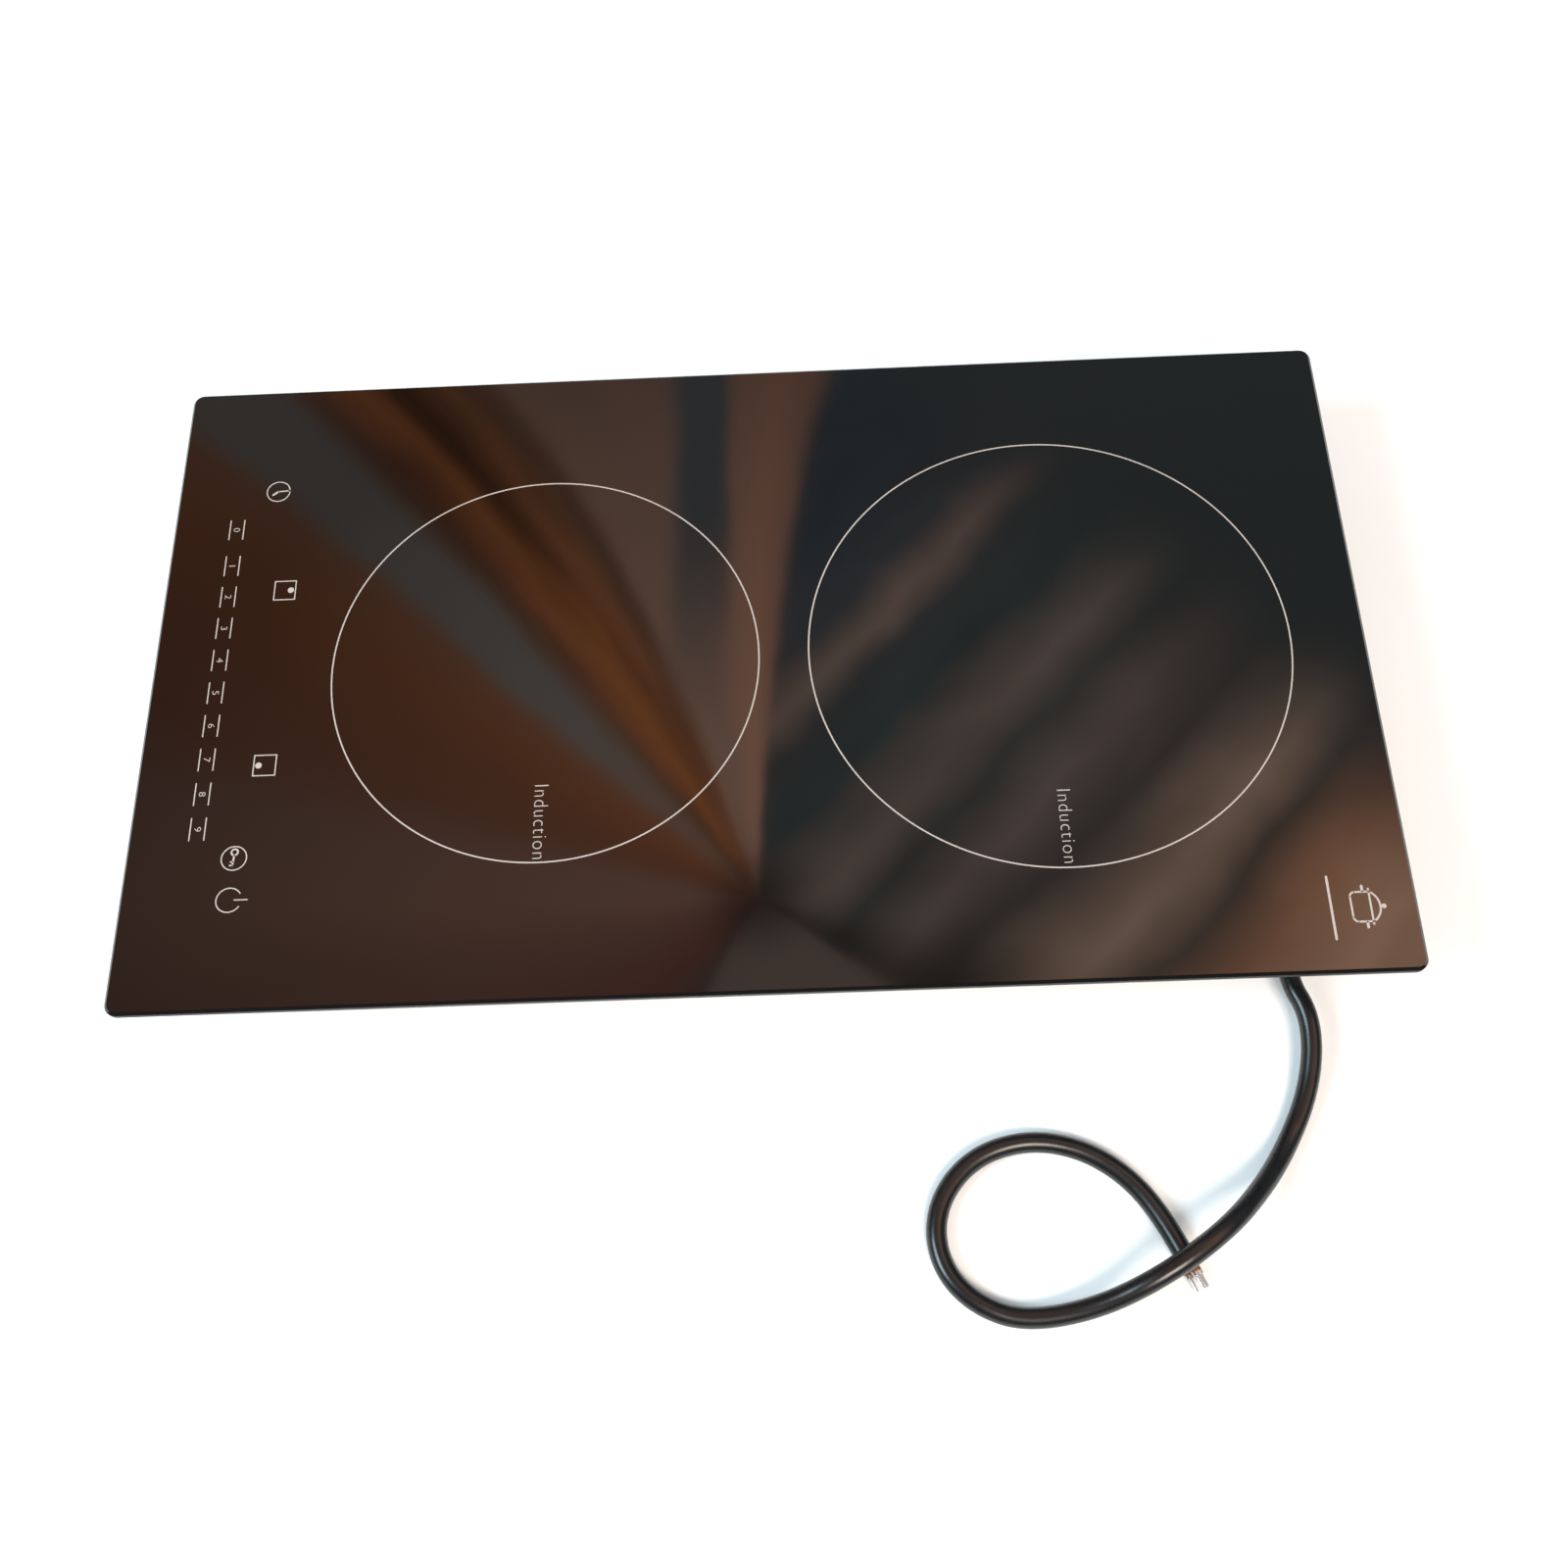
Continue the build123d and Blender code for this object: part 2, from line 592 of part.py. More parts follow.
# ------------------------------------------------------------------ coil tray on the pan's ledge
with BuildPart() as coil_tray:
    with BuildSketch(Plane.XY.offset(TRAY_Z)):
        RectangleRounded(TRAY_X, TRAY_Y, 4)
        with Locations(*lead_feet):
            Circle(TRAY_LEAD_HOLE_R, mode=Mode.SUBTRACT)
        with Locations((0, RIBBON_Y)):
            RectangleRounded(RIBBON_PLUG[0], RIBBON_PLUG[1], 1.0, mode=Mode.SUBTRACT)
        for zone_y in ZONE_Y.values():
            with Locations((0, zone_y)):
                with PolarLocations(TRAY_VENT_RING_R, TRAY_VENTS, start_angle=FERRITE_TURN):
                    Circle(TRAY_VENT_R, mode=Mode.SUBTRACT)
    extrude(amount=TRAY_T)
    for side in (-1, 1):
        web_x = side * (TRAY_X - TRAY_T) / 2
        foot_x = side * (TRAY_X - TRAY_FOOT[0]) / 2
        with BuildSketch(Plane.XY.offset(LEDGE_TOP)):
            with Locations(*[(web_x, y) for y in TRAY_SCREW_Y]):
                Rectangle(TRAY_T, TRAY_FOOT[1])
        extrude(amount=TRAY_Z - LEDGE_TOP)
        with BuildSketch(Plane.XY.offset(LEDGE_TOP)):
            with Locations(*[(foot_x, y) for y in TRAY_SCREW_Y]):
                Rectangle(*TRAY_FOOT)
            with Locations(*[(side * TRAY_SCREW_X, y) for y in TRAY_SCREW_Y]):
                Circle(SCREW_HOLE_R, mode=Mode.SUBTRACT)
        extrude(amount=TRAY_T)
finish(coil_tray, "coil_tray")

with BuildPart() as tray_screws:
    with BuildSketch(Plane.XY.offset(LEDGE_TOP + TRAY_T)):
        with Locations(*TRAY_SCREW_XY):
            Circle(SCREW_HEAD_R)
    extrude(amount=SCREW_HEAD_T)
    with BuildSketch(Plane.XY.offset(LEDGE_Z - TRAY_SCREW_TAIL)):
        with Locations(*TRAY_SCREW_XY):
            Circle(SCREW_R)
    extrude(amount=SHEET + TRAY_T + TRAY_SCREW_TAIL)
finish(tray_screws, "tray_screws")

# ------------------------------------------------------------------ power board
with BuildPart() as board_standoffs:
    with BuildSketch(Plane.XY.offset(SHEET)):
        with Locations(*STANDOFF_XY):
            Circle(STANDOFF_R)
            Circle(SCREW_HOLE_R, mode=Mode.SUBTRACT)
    extrude(amount=BOARD_Z - SHEET)
finish(board_standoffs, "board_standoffs")

with BuildPart() as board_screws:
    with BuildSketch(Plane.XY.offset(BOARD_TOP)):
        with Locations(*STANDOFF_XY):
            Circle(SCREW_HEAD_R)
    extrude(amount=SCREW_HEAD_T)
    with BuildSketch(Plane.XY.offset(BOARD_SCREW_END_Z)):
        with Locations(*STANDOFF_XY):
            Circle(SCREW_R)
    extrude(amount=BOARD_TOP - BOARD_SCREW_END_Z)
finish(board_screws, "board_screws")

with BuildPart() as power_board:
    with BuildSketch(Plane.XY.offset(BOARD_Z)):
        with Locations((0, (BOARD_Y0 + BOARD_Y1) / 2)):
            RectangleRounded(BOARD_X, BOARD_Y1 - BOARD_Y0, 3.0)
        with Locations(*STANDOFF_XY):
            Circle(SCREW_R + FIT, mode=Mode.SUBTRACT)
    extrude(amount=BOARD_T)
finish(power_board, "power_board")

with BuildPart() as heat_sink:
    with BuildSketch(Plane.XZ.offset(-SINK_Y[0])):
        with Locations((sum(SINK_SPINE_X) / 2, sum(SINK_SPINE_Z) / 2)):
            Rectangle(SINK_SPINE_X[1] - SINK_SPINE_X[0], SINK_SPINE_Z[1] - SINK_SPINE_Z[0])
        with Locations(*[(sum(SINK_FIN_X) / 2, SINK_FIN_Z + SINK_FIN_PITCH * i) for i in range(SINK_FINS)]):
            Rectangle(SINK_FIN_X[1] - SINK_FIN_X[0], SINK_FIN_T)
    extrude(amount=SINK_Y[0] - SINK_Y[1])
finish(heat_sink, "heat_sink")


def device(y, length, legs):
    """Power package standing against the heat sink, with its legs down to the board."""
    x = DEVICE_T / 2
    leg_y = [y + (i - (legs - 1) / 2) * length / legs for i in range(legs)]
    with Locations((x, y, DEVICE_Z + DEVICE_H / 2)):
        Box(DEVICE_T, length, DEVICE_H)
    with Locations(*[(x, place, (BOARD_TOP + DEVICE_Z) / 2) for place in leg_y]):
        Box(*LEG_SIZE, DEVICE_Z - BOARD_TOP)


with BuildPart() as power_transistors:
    for device_y in TRANSISTOR_Y:
        device(device_y, TRANSISTOR_W, 3)
finish(power_transistors, "power_transistors")

with BuildPart() as bridge_rectifier:
    device(RECTIFIER_Y, RECTIFIER_W, 4)
finish(bridge_rectifier, "bridge_rectifier")

with BuildPart() as film_capacitors:
    with BuildSketch(Plane.XY.offset(BOARD_TOP)):
        with Locations(*FILM_XY):
            Rectangle(FILM_SIZE[0], FILM_SIZE[1])
    extrude(amount=FILM_SIZE[2])
    fillet(film_capacitors.edges().filter_by(Axis.Z), 1.0)
finish(film_capacitors, "film_capacitors")

with BuildPart() as line_choke:
    with BuildSketch(Plane.XY.offset(BOARD_TOP + (CHOKE_TURN_H - CHOKE_T) / 2)):
        with Locations(CHOKE_XY):
            Circle(CHOKE_R)
            Circle(CHOKE_BORE_R, mode=Mode.SUBTRACT)
    extrude(amount=CHOKE_T)
    # turns of the winding around the core
    with BuildSketch(Plane.XY.offset(BOARD_TOP)):
        with Locations(CHOKE_XY):
            with PolarLocations((CHOKE_R + CHOKE_BORE_R) / 2, CHOKE_TURNS):
                Rectangle(*CHOKE_TURN_SIZE)
    extrude(amount=CHOKE_TURN_H)
finish(line_choke, "line_choke")

with BuildPart() as electrolytic_capacitors:
    with BuildSketch(Plane.XY.offset(BOARD_TOP)):
        with Locations(*CAN_XY):
            Circle(CAN_R)
    extrude(amount=CAN_H)
    fillet(electrolytic_capacitors.faces().filter_by(Axis.Z).group_by(Axis.Z)[-1].edges(), CAN_ROUND)
finish(electrolytic_capacitors, "electrolytic_capacitors")

with BuildPart() as smps_transformer:
    with BuildSketch(Plane.XY.offset(BOARD_TOP)):
        with Locations(TRANSFORMER_XY):
            Rectangle(TRANSFORMER_CORE[0], TRANSFORMER_CORE[1])
    extrude(amount=TRANSFORMER_CORE[2])
    with BuildSketch(Plane.XY.offset(BOARD_TOP + BOBBIN_LIFT)):
        with Locations(TRANSFORMER_XY):
            Rectangle(TRANSFORMER_BOBBIN[0], TRANSFORMER_BOBBIN[1])
    extrude(amount=TRANSFORMER_BOBBIN[2])
finish(smps_transformer, "smps_transformer")

with BuildPart() as board_connectors:
    with BuildSketch(Plane.XY.offset(BOARD_TOP)):
        with Locations(*lead_feet):
            Rectangle(*LEAD_PLUG)
    extrude(amount=LEAD_END_Z - BOARD_TOP)
    plugs = ((MAINS_PLUG_XY, MAINS_PLUG), ((0, RIBBON_Y), RIBBON_PLUG), (FAN_PLUG_XY, FAN_PLUG))
    for plug_xy, plug in plugs:
        with BuildSketch(Plane.XY.offset(BOARD_TOP)):
            with Locations(plug_xy):
                Rectangle(plug[0], plug[1])
        extrude(amount=plug[2])
finish(board_connectors, "board_connectors")

# ------------------------------------------------------------------ cooling fan and air duct
with BuildPart() as fan_housing:
    with BuildSketch(Plane.XY.offset(FAN_Z0)):
        with Locations((FAN_X, FAN_Y)):
            Circle(FAN_R)
        with Locations((sum(FAN_MOUTH_X) / 2, (FAN_MOUTH_Y + FAN_Y) / 2)):
            Rectangle(FAN_MOUTH_X[1] - FAN_MOUTH_X[0], FAN_Y - FAN_MOUTH_Y)
    extrude(amount=FAN_Z1 - FAN_Z0)
    with BuildSketch(Plane.XY.offset(FAN_Z0 + FAN_WALL)):
        with Locations((FAN_X, FAN_Y)):
            Circle(FAN_R - FAN_WALL)
        with Locations((sum(FAN_MOUTH_X) / 2, (FAN_MOUTH_Y + FAN_Y) / 2)):
            Rectangle(FAN_MOUTH_X[1] - FAN_MOUTH_X[0] - 2 * FAN_WALL, FAN_Y - FAN_MOUTH_Y)
    extrude(amount=FAN_Z1 - FAN_Z0 - 2 * FAN_WALL, mode=Mode.SUBTRACT)
    with BuildSketch(Plane.XY.offset(FAN_Z0)):
        with Locations((FAN_X, FAN_Y)):
            Circle(FAN_INLET_R)
    extrude(amount=FAN_WALL, mode=Mode.SUBTRACT)
finish(fan_housing, "fan_housing")

with BuildPart() as fan_motor:
    with BuildSketch(Plane.XY.offset(MOTOR_Z)):
        with Locations((FAN_X, FAN_Y)):
            Circle(MOTOR_R)
            Circle(SHAFT_R + 0.3, mode=Mode.SUBTRACT)
    extrude(amount=MOTOR_TOP - MOTOR_Z)
finish(fan_motor, "fan_motor")

with BuildPart() as fan_impeller:
    # cup over the motor, with the shaft inside it
    with BuildSketch(Plane.XY.offset(CUP_Z)):
        with Locations((FAN_X, FAN_Y)):
            Circle(CUP_OUTER_R)
    extrude(amount=CUP_TOP - CUP_Z)
    with BuildSketch(Plane.XY.offset(CUP_Z + IMPELLER_WALL)):
        with Locations((FAN_X, FAN_Y)):
            Circle(CUP_INNER_R)
            Circle(SHAFT_R, mode=Mode.SUBTRACT)
    extrude(amount=CUP_TOP - CUP_Z - IMPELLER_WALL, mode=Mode.SUBTRACT)
    with BuildSketch(Plane.XY.offset(CUP_Z + IMPELLER_WALL)):
        with Locations((FAN_X, FAN_Y)):
            Circle(SHAFT_R)
    extrude(amount=SHAFT_TOP - CUP_Z - IMPELLER_WALL)
    # back disc, blades and bottom ring
    with BuildSketch(Plane.XY.offset(BACK_DISC_Z)):
        with Locations((FAN_X, FAN_Y)):
            Circle(IMPELLER_R)
            Circle(CUP_INNER_R, mode=Mode.SUBTRACT)
    extrude(amount=IMPELLER_WALL)
    with BuildSketch(Plane.XY.offset(BLADE_Z)):
        with Locations((FAN_X, FAN_Y)):
            with PolarLocations(IMPELLER_R - BLADE_SIZE[0] / 2 - 0.5, BLADE_COUNT):
                Rectangle(*BLADE_SIZE, rotation=BLADE_TURN)
    extrude(amount=BACK_DISC_Z - BLADE_Z)
    with BuildSketch(Plane.XY.offset(BLADE_Z)):
        with Locations((FAN_X, FAN_Y)):
            Circle(IMPELLER_R)
            Circle(IMPELLER_R - IMPELLER_RIM_W, mode=Mode.SUBTRACT)
    extrude(amount=IMPELLER_WALL)
finish(fan_impeller, "fan_impeller")

with BuildPart() as air_duct:
    with BuildSketch(Plane.XZ.offset(-DUCT_Y[0])):
        with Locations((sum(DUCT_X) / 2, DUCT_Z[1] - DUCT_T / 2)):
            Rectangle(DUCT_X[1] - DUCT_X[0], DUCT_T)
        with Locations((DUCT_X[0] + DUCT_T / 2, sum(DUCT_Z) / 2)):
            Rectangle(DUCT_T, DUCT_Z[1] - DUCT_Z[0])
    extrude(amount=DUCT_Y[0] - DUCT_Y[1])
    # right wall between the heat sink and the fan, and the lip above the fan's mouth
    with BuildSketch(Plane.XZ.offset(-SINK_Y[1] - 2.0)):
        with Locations((DUCT_X[1] - DUCT_T / 2, sum(DUCT_Z) / 2)):
            Rectangle(DUCT_T, DUCT_Z[1] - DUCT_Z[0])
    extrude(amount=SINK_Y[1] + 2.0 - DUCT_Y[1])
    with BuildSketch(Plane.XZ.offset(-DUCT_Y[1])):
        with Locations((sum(DUCT_X) / 2, (DUCT_LIP_Z + DUCT_Z[1]) / 2)):
            Rectangle(DUCT_X[1] - DUCT_X[0], DUCT_Z[1] - DUCT_LIP_Z)
    extrude(amount=DUCT_T)
finish(air_duct, "air_duct")

# ------------------------------------------------------------------ touch controls
with BuildPart() as control_bracket:
    with BuildSketch(Plane.XY.offset(TRAY_TOP)):
        with Locations((0, CONTROL_Y)):
            ring_sketch(*BRACKET_SIZE, BRACKET_WALL, 2.0)
            with Locations(*[(x, 0) for x in BRACKET_RIB_X]):
                Rectangle(BRACKET_RIB_T, BRACKET_SIZE[1] - 2.0)
    extrude(amount=CONTROL_Z - TRAY_TOP)
finish(control_bracket, "control_bracket")

with BuildPart() as control_board:
    with BuildSketch(Plane.XY.offset(CONTROL_Z)):
        with Locations((0, CONTROL_Y)):
            RectangleRounded(*CONTROL_SIZE, 2.0)
    extrude(amount=CONTROL_T)
finish(control_board, "control_board")

key_places = DIGIT_XY + [TIMER_XY, REAR_SELECT_XY, FRONT_SELECT_XY, LOCK_XY, POWER_XY]
touch_springs = corrugated_spring(TOUCH_SPRING_R, CONTROL_TOP, GLASS_Z, key_places)
finish(touch_springs, "touch_springs")

with BuildPart() as level_displays:
    with BuildSketch(Plane.XY.offset(CONTROL_TOP)):
        with Locations(*[(x - DISPLAY_OFFSET, y) for x, y in (REAR_SELECT_XY, FRONT_SELECT_XY)]):
            Rectangle(DISPLAY_SIZE[0], DISPLAY_SIZE[1])
    extrude(amount=DISPLAY_SIZE[2])
finish(level_displays, "level_displays")

with BuildPart() as buzzer:
    with BuildSketch(Plane.XY.offset(CONTROL_Z - BUZZER_H)):
        with Locations((BUZZER_X, CONTROL_Y)):
            Circle(BUZZER_R)
    extrude(amount=BUZZER_H)
finish(buzzer, "buzzer")

with BuildPart() as ribbon_cable:
    with BuildSketch(Plane.XY.offset(BOARD_TOP + RIBBON_PLUG[2])):
        with Locations((0, RIBBON_Y)):
            Rectangle(*RIBBON_SIZE)
    extrude(amount=CONTROL_Z - BOARD_TOP - RIBBON_PLUG[2])
finish(ribbon_cable, "ribbon_cable")

# ------------------------------------------------------------------ mains entry
with BuildPart() as cord_gland:
    with BuildSketch(Plane.XY.offset(GLAND_Z)):
        with BuildLine():
            Polyline(
                (GLAND_INNER_X, GLAND_Y),
                (GLAND_INNER_X, GLAND_Y + GLAND_THREAD_R),
                (LOWER_X / 2, GLAND_Y + GLAND_THREAD_R),
                (LOWER_X / 2, GLAND_Y + GLAND_FLANGE_R),
                (LOWER_X / 2 + GLAND_FLANGE_T, GLAND_Y + GLAND_FLANGE_R),
                (LOWER_X / 2 + GLAND_FLANGE_T, GLAND_Y + GLAND_CAP_R),
                (LOWER_X / 2 + GLAND_CAP_T, GLAND_Y + GLAND_CAP_R),
                (LOWER_X / 2 + GLAND_SHOULDER_T, GLAND_Y + GLAND_SHOULDER_R),
                (GLAND_TIP_X, GLAND_Y + CORD_D / 2 + GLAND_LIP),
                (GLAND_TIP_X, GLAND_Y),
                close=True,
            )
        make_face()
    revolve(axis=Axis((0, GLAND_Y, GLAND_Z), (1, 0, 0)))
    # grip ribs around the cap
    with BuildSketch(Plane.YZ.offset(LOWER_X / 2 + GLAND_FLANGE_T)):
        with Locations((GLAND_Y, GLAND_Z)):
            with PolarLocations(GLAND_CAP_R, GLAND_RIBS):
                Circle(GLAND_RIB_R)
    extrude(amount=GLAND_CAP_T - GLAND_FLANGE_T)
finish(cord_gland, "cord_gland")

WALL_INNER_X = LOWER_X / 2 - SHEET
with BuildPart() as gland_nut:
    with BuildSketch(Plane.YZ.offset(WALL_INNER_X - GLAND_NUT_T)):
        with Locations((GLAND_Y, GLAND_Z)):
            RegularPolygon(GLAND_NUT_R, 6)
            Circle(GLAND_NUT_BORE_R, mode=Mode.SUBTRACT)
    extrude(amount=GLAND_NUT_T)
finish(gland_nut, "gland_nut")

with BuildPart() as inner_sheath:
    with BuildSketch(Plane.YZ.offset(SHEATH_END_X)):
        with Locations((GLAND_Y, GLAND_Z)):
            Circle(CORD_D / 2)
    extrude(amount=GLAND_INNER_X - SHEATH_END_X)
finish(inner_sheath, "inner_sheath")

SADDLE_TOP = GLAND_Z + SADDLE_RISE
with BuildPart() as cord_clamp:
    with BuildSketch(Plane.YZ.offset(SADDLE_X)):
        with Locations((GLAND_Y, (SHEET + SADDLE_TOP) / 2)):
            Rectangle(SADDLE_W, SADDLE_TOP - SHEET)
        with Locations((GLAND_Y, GLAND_Z)):
            Circle(CORD_D / 2 + FIT / 2, mode=Mode.SUBTRACT)
    extrude(amount=SADDLE_T)
    fillet(cord_clamp.edges().filter_by(Axis.X).group_by(Axis.Z)[-1], SADDLE_ROUND)
finish(cord_clamp, "cord_clamp")

terminal_wells = [(sum(TERMINAL_X) / 2, y) for y in TERMINAL_Y]
WELL_Z = TERMINAL_TOP - TERMINAL_WELL_DEPTH
with BuildPart() as terminal_block:
    with BuildSketch(Plane.XY.offset(SHEET)):
        with Locations(terminal_wells[1]):
            Rectangle(TERMINAL_X[1] - TERMINAL_X[0], TERMINAL_W)
    extrude(amount=TERMINAL_TOP - SHEET)
    chamfer(terminal_block.faces().sort_by(Axis.Z)[-1].edges().filter_by(Axis.Y), 2.0)
    with BuildSketch(Plane.XY.offset(WELL_Z)):
        with Locations(*terminal_wells):
            Circle(TERMINAL_WELL_R)
    extrude(amount=TERMINAL_WELL_DEPTH, mode=Mode.SUBTRACT)
finish(terminal_block, "terminal_block")

with BuildPart() as terminal_screws:
    with BuildSketch(Plane.XY.offset(WELL_Z)):
        with Locations(*terminal_wells):
            Circle(TERMINAL_SCREW_R)
    extrude(amount=TERMINAL_SCREW_T)
    with BuildSketch(Plane.XY.offset(WELL_Z + TERMINAL_SCREW_T - DRIVER_DEPTH)):
        with Locations(*terminal_wells):
            Rectangle(*DRIVER_SLOT)
    extrude(amount=DRIVER_DEPTH, mode=Mode.SUBTRACT)
finish(terminal_screws, "terminal_screws")

with BuildPart() as mains_leads:
    for lead_y, offset in zip(TERMINAL_Y, WIRE_SPREAD):
        entry = (SHEATH_END_X, GLAND_Y + offset, GLAND_Z)
        turn_out = (SHEATH_END_X - WIRE_STUB, GLAND_Y + offset, GLAND_Z)
        turn_in = (TERMINAL_X[1] + WIRE_STUB, lead_y, GLAND_Z)
        add(wire([entry, turn_out, turn_in, (TERMINAL_X[1], lead_y, GLAND_Z)], WIRE_R, WIRE_BEND_R))
    for lead_x in BOARD_LEAD_X:
        far = (lead_x, TERMINAL_Y[0] - BOARD_LEAD_GAP, GLAND_Z)
        near = (lead_x, MAINS_PLUG_XY[1] + MAINS_PLUG[1] / 2, GLAND_Z)
        add(wire([far, near], WIRE_R, 0))
finish(mains_leads, "mains_leads")

# ------------------------------------------------------------------ mains cord
route = [Vector(*point) for point in CORD_ROUTE]
runs = [(after - before).length for before, after in zip(route, route[1:])]
radii = []
for i in range(1, len(route) - 1):
    turn = (route[i] - route[i - 1]).get_angle(route[i + 1] - route[i])
    radii.append(0.45 * min(runs[i - 1], runs[i]) / math.tan(math.radians(turn / 2)))
print("cord radii (mm):", [round(radius, 1) for radius in radii])

with BuildPart() as mains_cord:
    with BuildLine() as cord_line:
        FilletPolyline(*CORD_ROUTE, radius=radii)
    with BuildSketch(Plane(origin=route[0], z_dir=route[1] - route[0])):
        Circle(CORD_D / 2)
    sweep()
finish(mains_cord, "mains_cord")
cord_length = sum(edge.length for edge in cord_line.edges())
section_volume = math.pi * (CORD_D / 2) ** 2 * cord_length
print(f"cord length {cord_length:.1f} mm")
print(f"cord volume {mains_cord.part.volume:.0f} mm3, section x length {section_volume:.0f} mm3")

# Stripped end: three short insulated cores, each in a crimped ferrule.
end_plane = Plane(origin=route[-1], x_dir=(0, 0, 1), z_dir=route[-1] - route[-2])
with BuildPart() as cord_cores:
    with BuildSketch(end_plane):
        with Locations(*CORE_OFFSETS):
            Circle(CORE_R)
    extrude(amount=CORE_LENGTH)
finish(cord_cores, "cord_cores")

with BuildPart() as core_ferrules:
    with BuildSketch(end_plane.offset(CORE_LENGTH)):
        with Locations(*CORE_OFFSETS):
            Circle(FERRULE_COLLAR_R)
    extrude(amount=FERRULE_COLLAR_T)
    with BuildSketch(end_plane.offset(CORE_LENGTH)):
        with Locations(*CORE_OFFSETS):
            Circle(FERRULE_PIN_R)
    extrude(amount=FERRULE_LENGTH)
finish(core_ferrules, "core_ferrules")

# ------------------------------------------------------------------ worktop clamps
for end_name, end_sign in (("front", -1), ("rear", 1)):
    for side_name, side_sign in (("left", -1), ("right", 1)):
        pivot = (side_sign * CLAMP_X, end_sign * CLAMP_Y)
        arm_y = pivot[1] - end_sign * CLAMP_REACH / 2
        tooth_y = pivot[1] - end_sign * (CLAMP_REACH + CLAMP_HALF_WIDTH - CLAMP_TOOTH_INSET)
        with BuildPart() as clamp:
            with BuildSketch(Plane.XY.offset(CLAMP_Z)):
                with Locations((pivot[0], arm_y)):
                    SlotCenterToCenter(CLAMP_REACH, 2 * CLAMP_HALF_WIDTH, rotation=90)
                with Locations(pivot):
                    Circle(CLAMP_HOLE_R, mode=Mode.SUBTRACT)
            extrude(amount=CLAMP_T)
            with BuildSketch(Plane.XY.offset(CLAMP_Z + CLAMP_T)):
                with Locations((pivot[0], tooth_y)):
                    Rectangle(CLAMP_TOOTH[0], CLAMP_TOOTH[1])
            extrude(amount=CLAMP_TOOTH[2])
        finish(clamp, f"clamp_{end_name}_{side_name}")

with BuildPart() as clamp_screws:
    with BuildSketch(Plane.XY.offset(CLAMP_HEAD_Z)):
        with GridLocations(2 * CLAMP_X, 2 * CLAMP_Y, 2, 2):
            Circle(CLAMP_SCREW_R)
    extrude(amount=CLAMP_SCREW_LENGTH)
    with BuildSketch(Plane.XY.offset(CLAMP_HEAD_Z - CLAMP_HEAD_T)):
        with GridLocations(2 * CLAMP_X, 2 * CLAMP_Y, 2, 2):
            Circle(CLAMP_HEAD_R)
    extrude(amount=CLAMP_HEAD_T)
    with BuildSketch(Plane.XY.offset(CLAMP_HEAD_Z - CLAMP_HEAD_T)):
        with GridLocations(2 * CLAMP_X, 2 * CLAMP_Y, 2, 2):
            RegularPolygon(CLAMP_HEX_R, 6)
    extrude(amount=CLAMP_HEX_DEPTH, mode=Mode.SUBTRACT)
finish(clamp_screws, "clamp_screws")

with BuildPart() as clamp_nuts:
    with BuildSketch(Plane.XY.offset(NUT_FLANGE_Z)):
        with GridLocations(2 * CLAMP_X, 2 * CLAMP_Y, 2, 2):
            Circle(NUT_FLANGE_R)
            Circle(NUT_BORE_R, mode=Mode.SUBTRACT)
    extrude(amount=LEDGE_Z - NUT_FLANGE_Z)
    with BuildSketch(Plane.XY.offset(LEDGE_Z)):
        with GridLocations(2 * CLAMP_X, 2 * CLAMP_Y, 2, 2):
            Circle(NUT_R)
            Circle(NUT_BORE_R, mode=Mode.SUBTRACT)
    extrude(amount=NUT_TAIL)
finish(clamp_nuts, "clamp_nuts")
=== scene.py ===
import json
import math

import bmesh
import bpy
from mathutils import Matrix, Quaternion, Vector


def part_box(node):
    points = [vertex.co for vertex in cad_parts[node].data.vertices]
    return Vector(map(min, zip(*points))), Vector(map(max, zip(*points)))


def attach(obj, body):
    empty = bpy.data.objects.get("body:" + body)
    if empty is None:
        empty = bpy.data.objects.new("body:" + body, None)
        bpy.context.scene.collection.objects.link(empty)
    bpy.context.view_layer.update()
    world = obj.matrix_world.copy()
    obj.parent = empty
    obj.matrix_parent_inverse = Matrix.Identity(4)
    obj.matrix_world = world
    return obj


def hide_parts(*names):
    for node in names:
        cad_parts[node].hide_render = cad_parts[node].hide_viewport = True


# Looks of the two-zone induction cooktop: prints on the glass, mains cord, materials, studio.
# Everything is in metres in the row frame: +Z up, +Y to the rear, controls at -Y, cord at +X.

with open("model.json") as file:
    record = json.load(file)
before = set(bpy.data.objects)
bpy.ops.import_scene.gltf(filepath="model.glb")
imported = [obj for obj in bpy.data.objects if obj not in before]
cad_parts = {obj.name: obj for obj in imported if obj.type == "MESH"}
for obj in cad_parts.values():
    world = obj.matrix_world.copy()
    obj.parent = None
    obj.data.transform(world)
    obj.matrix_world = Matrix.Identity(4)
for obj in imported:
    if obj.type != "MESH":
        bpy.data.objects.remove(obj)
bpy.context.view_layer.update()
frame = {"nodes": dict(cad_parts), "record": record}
BODY = "cooktop"
MM = 0.001
GLASS_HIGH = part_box("glass_plate")[1]
GLASS_TOP = GLASS_HIGH.z


# ------------------------------------------------------------------ camera
LENS_MM = 37.27
SENSOR_MM = 36.0
CAMERA_AT = (0.33525, 0.02367, 0.66898)
LOOK_AT = (0.0611, 0.0112, GLASS_TOP)
CAMERA_ROLL = math.radians(-4.52)


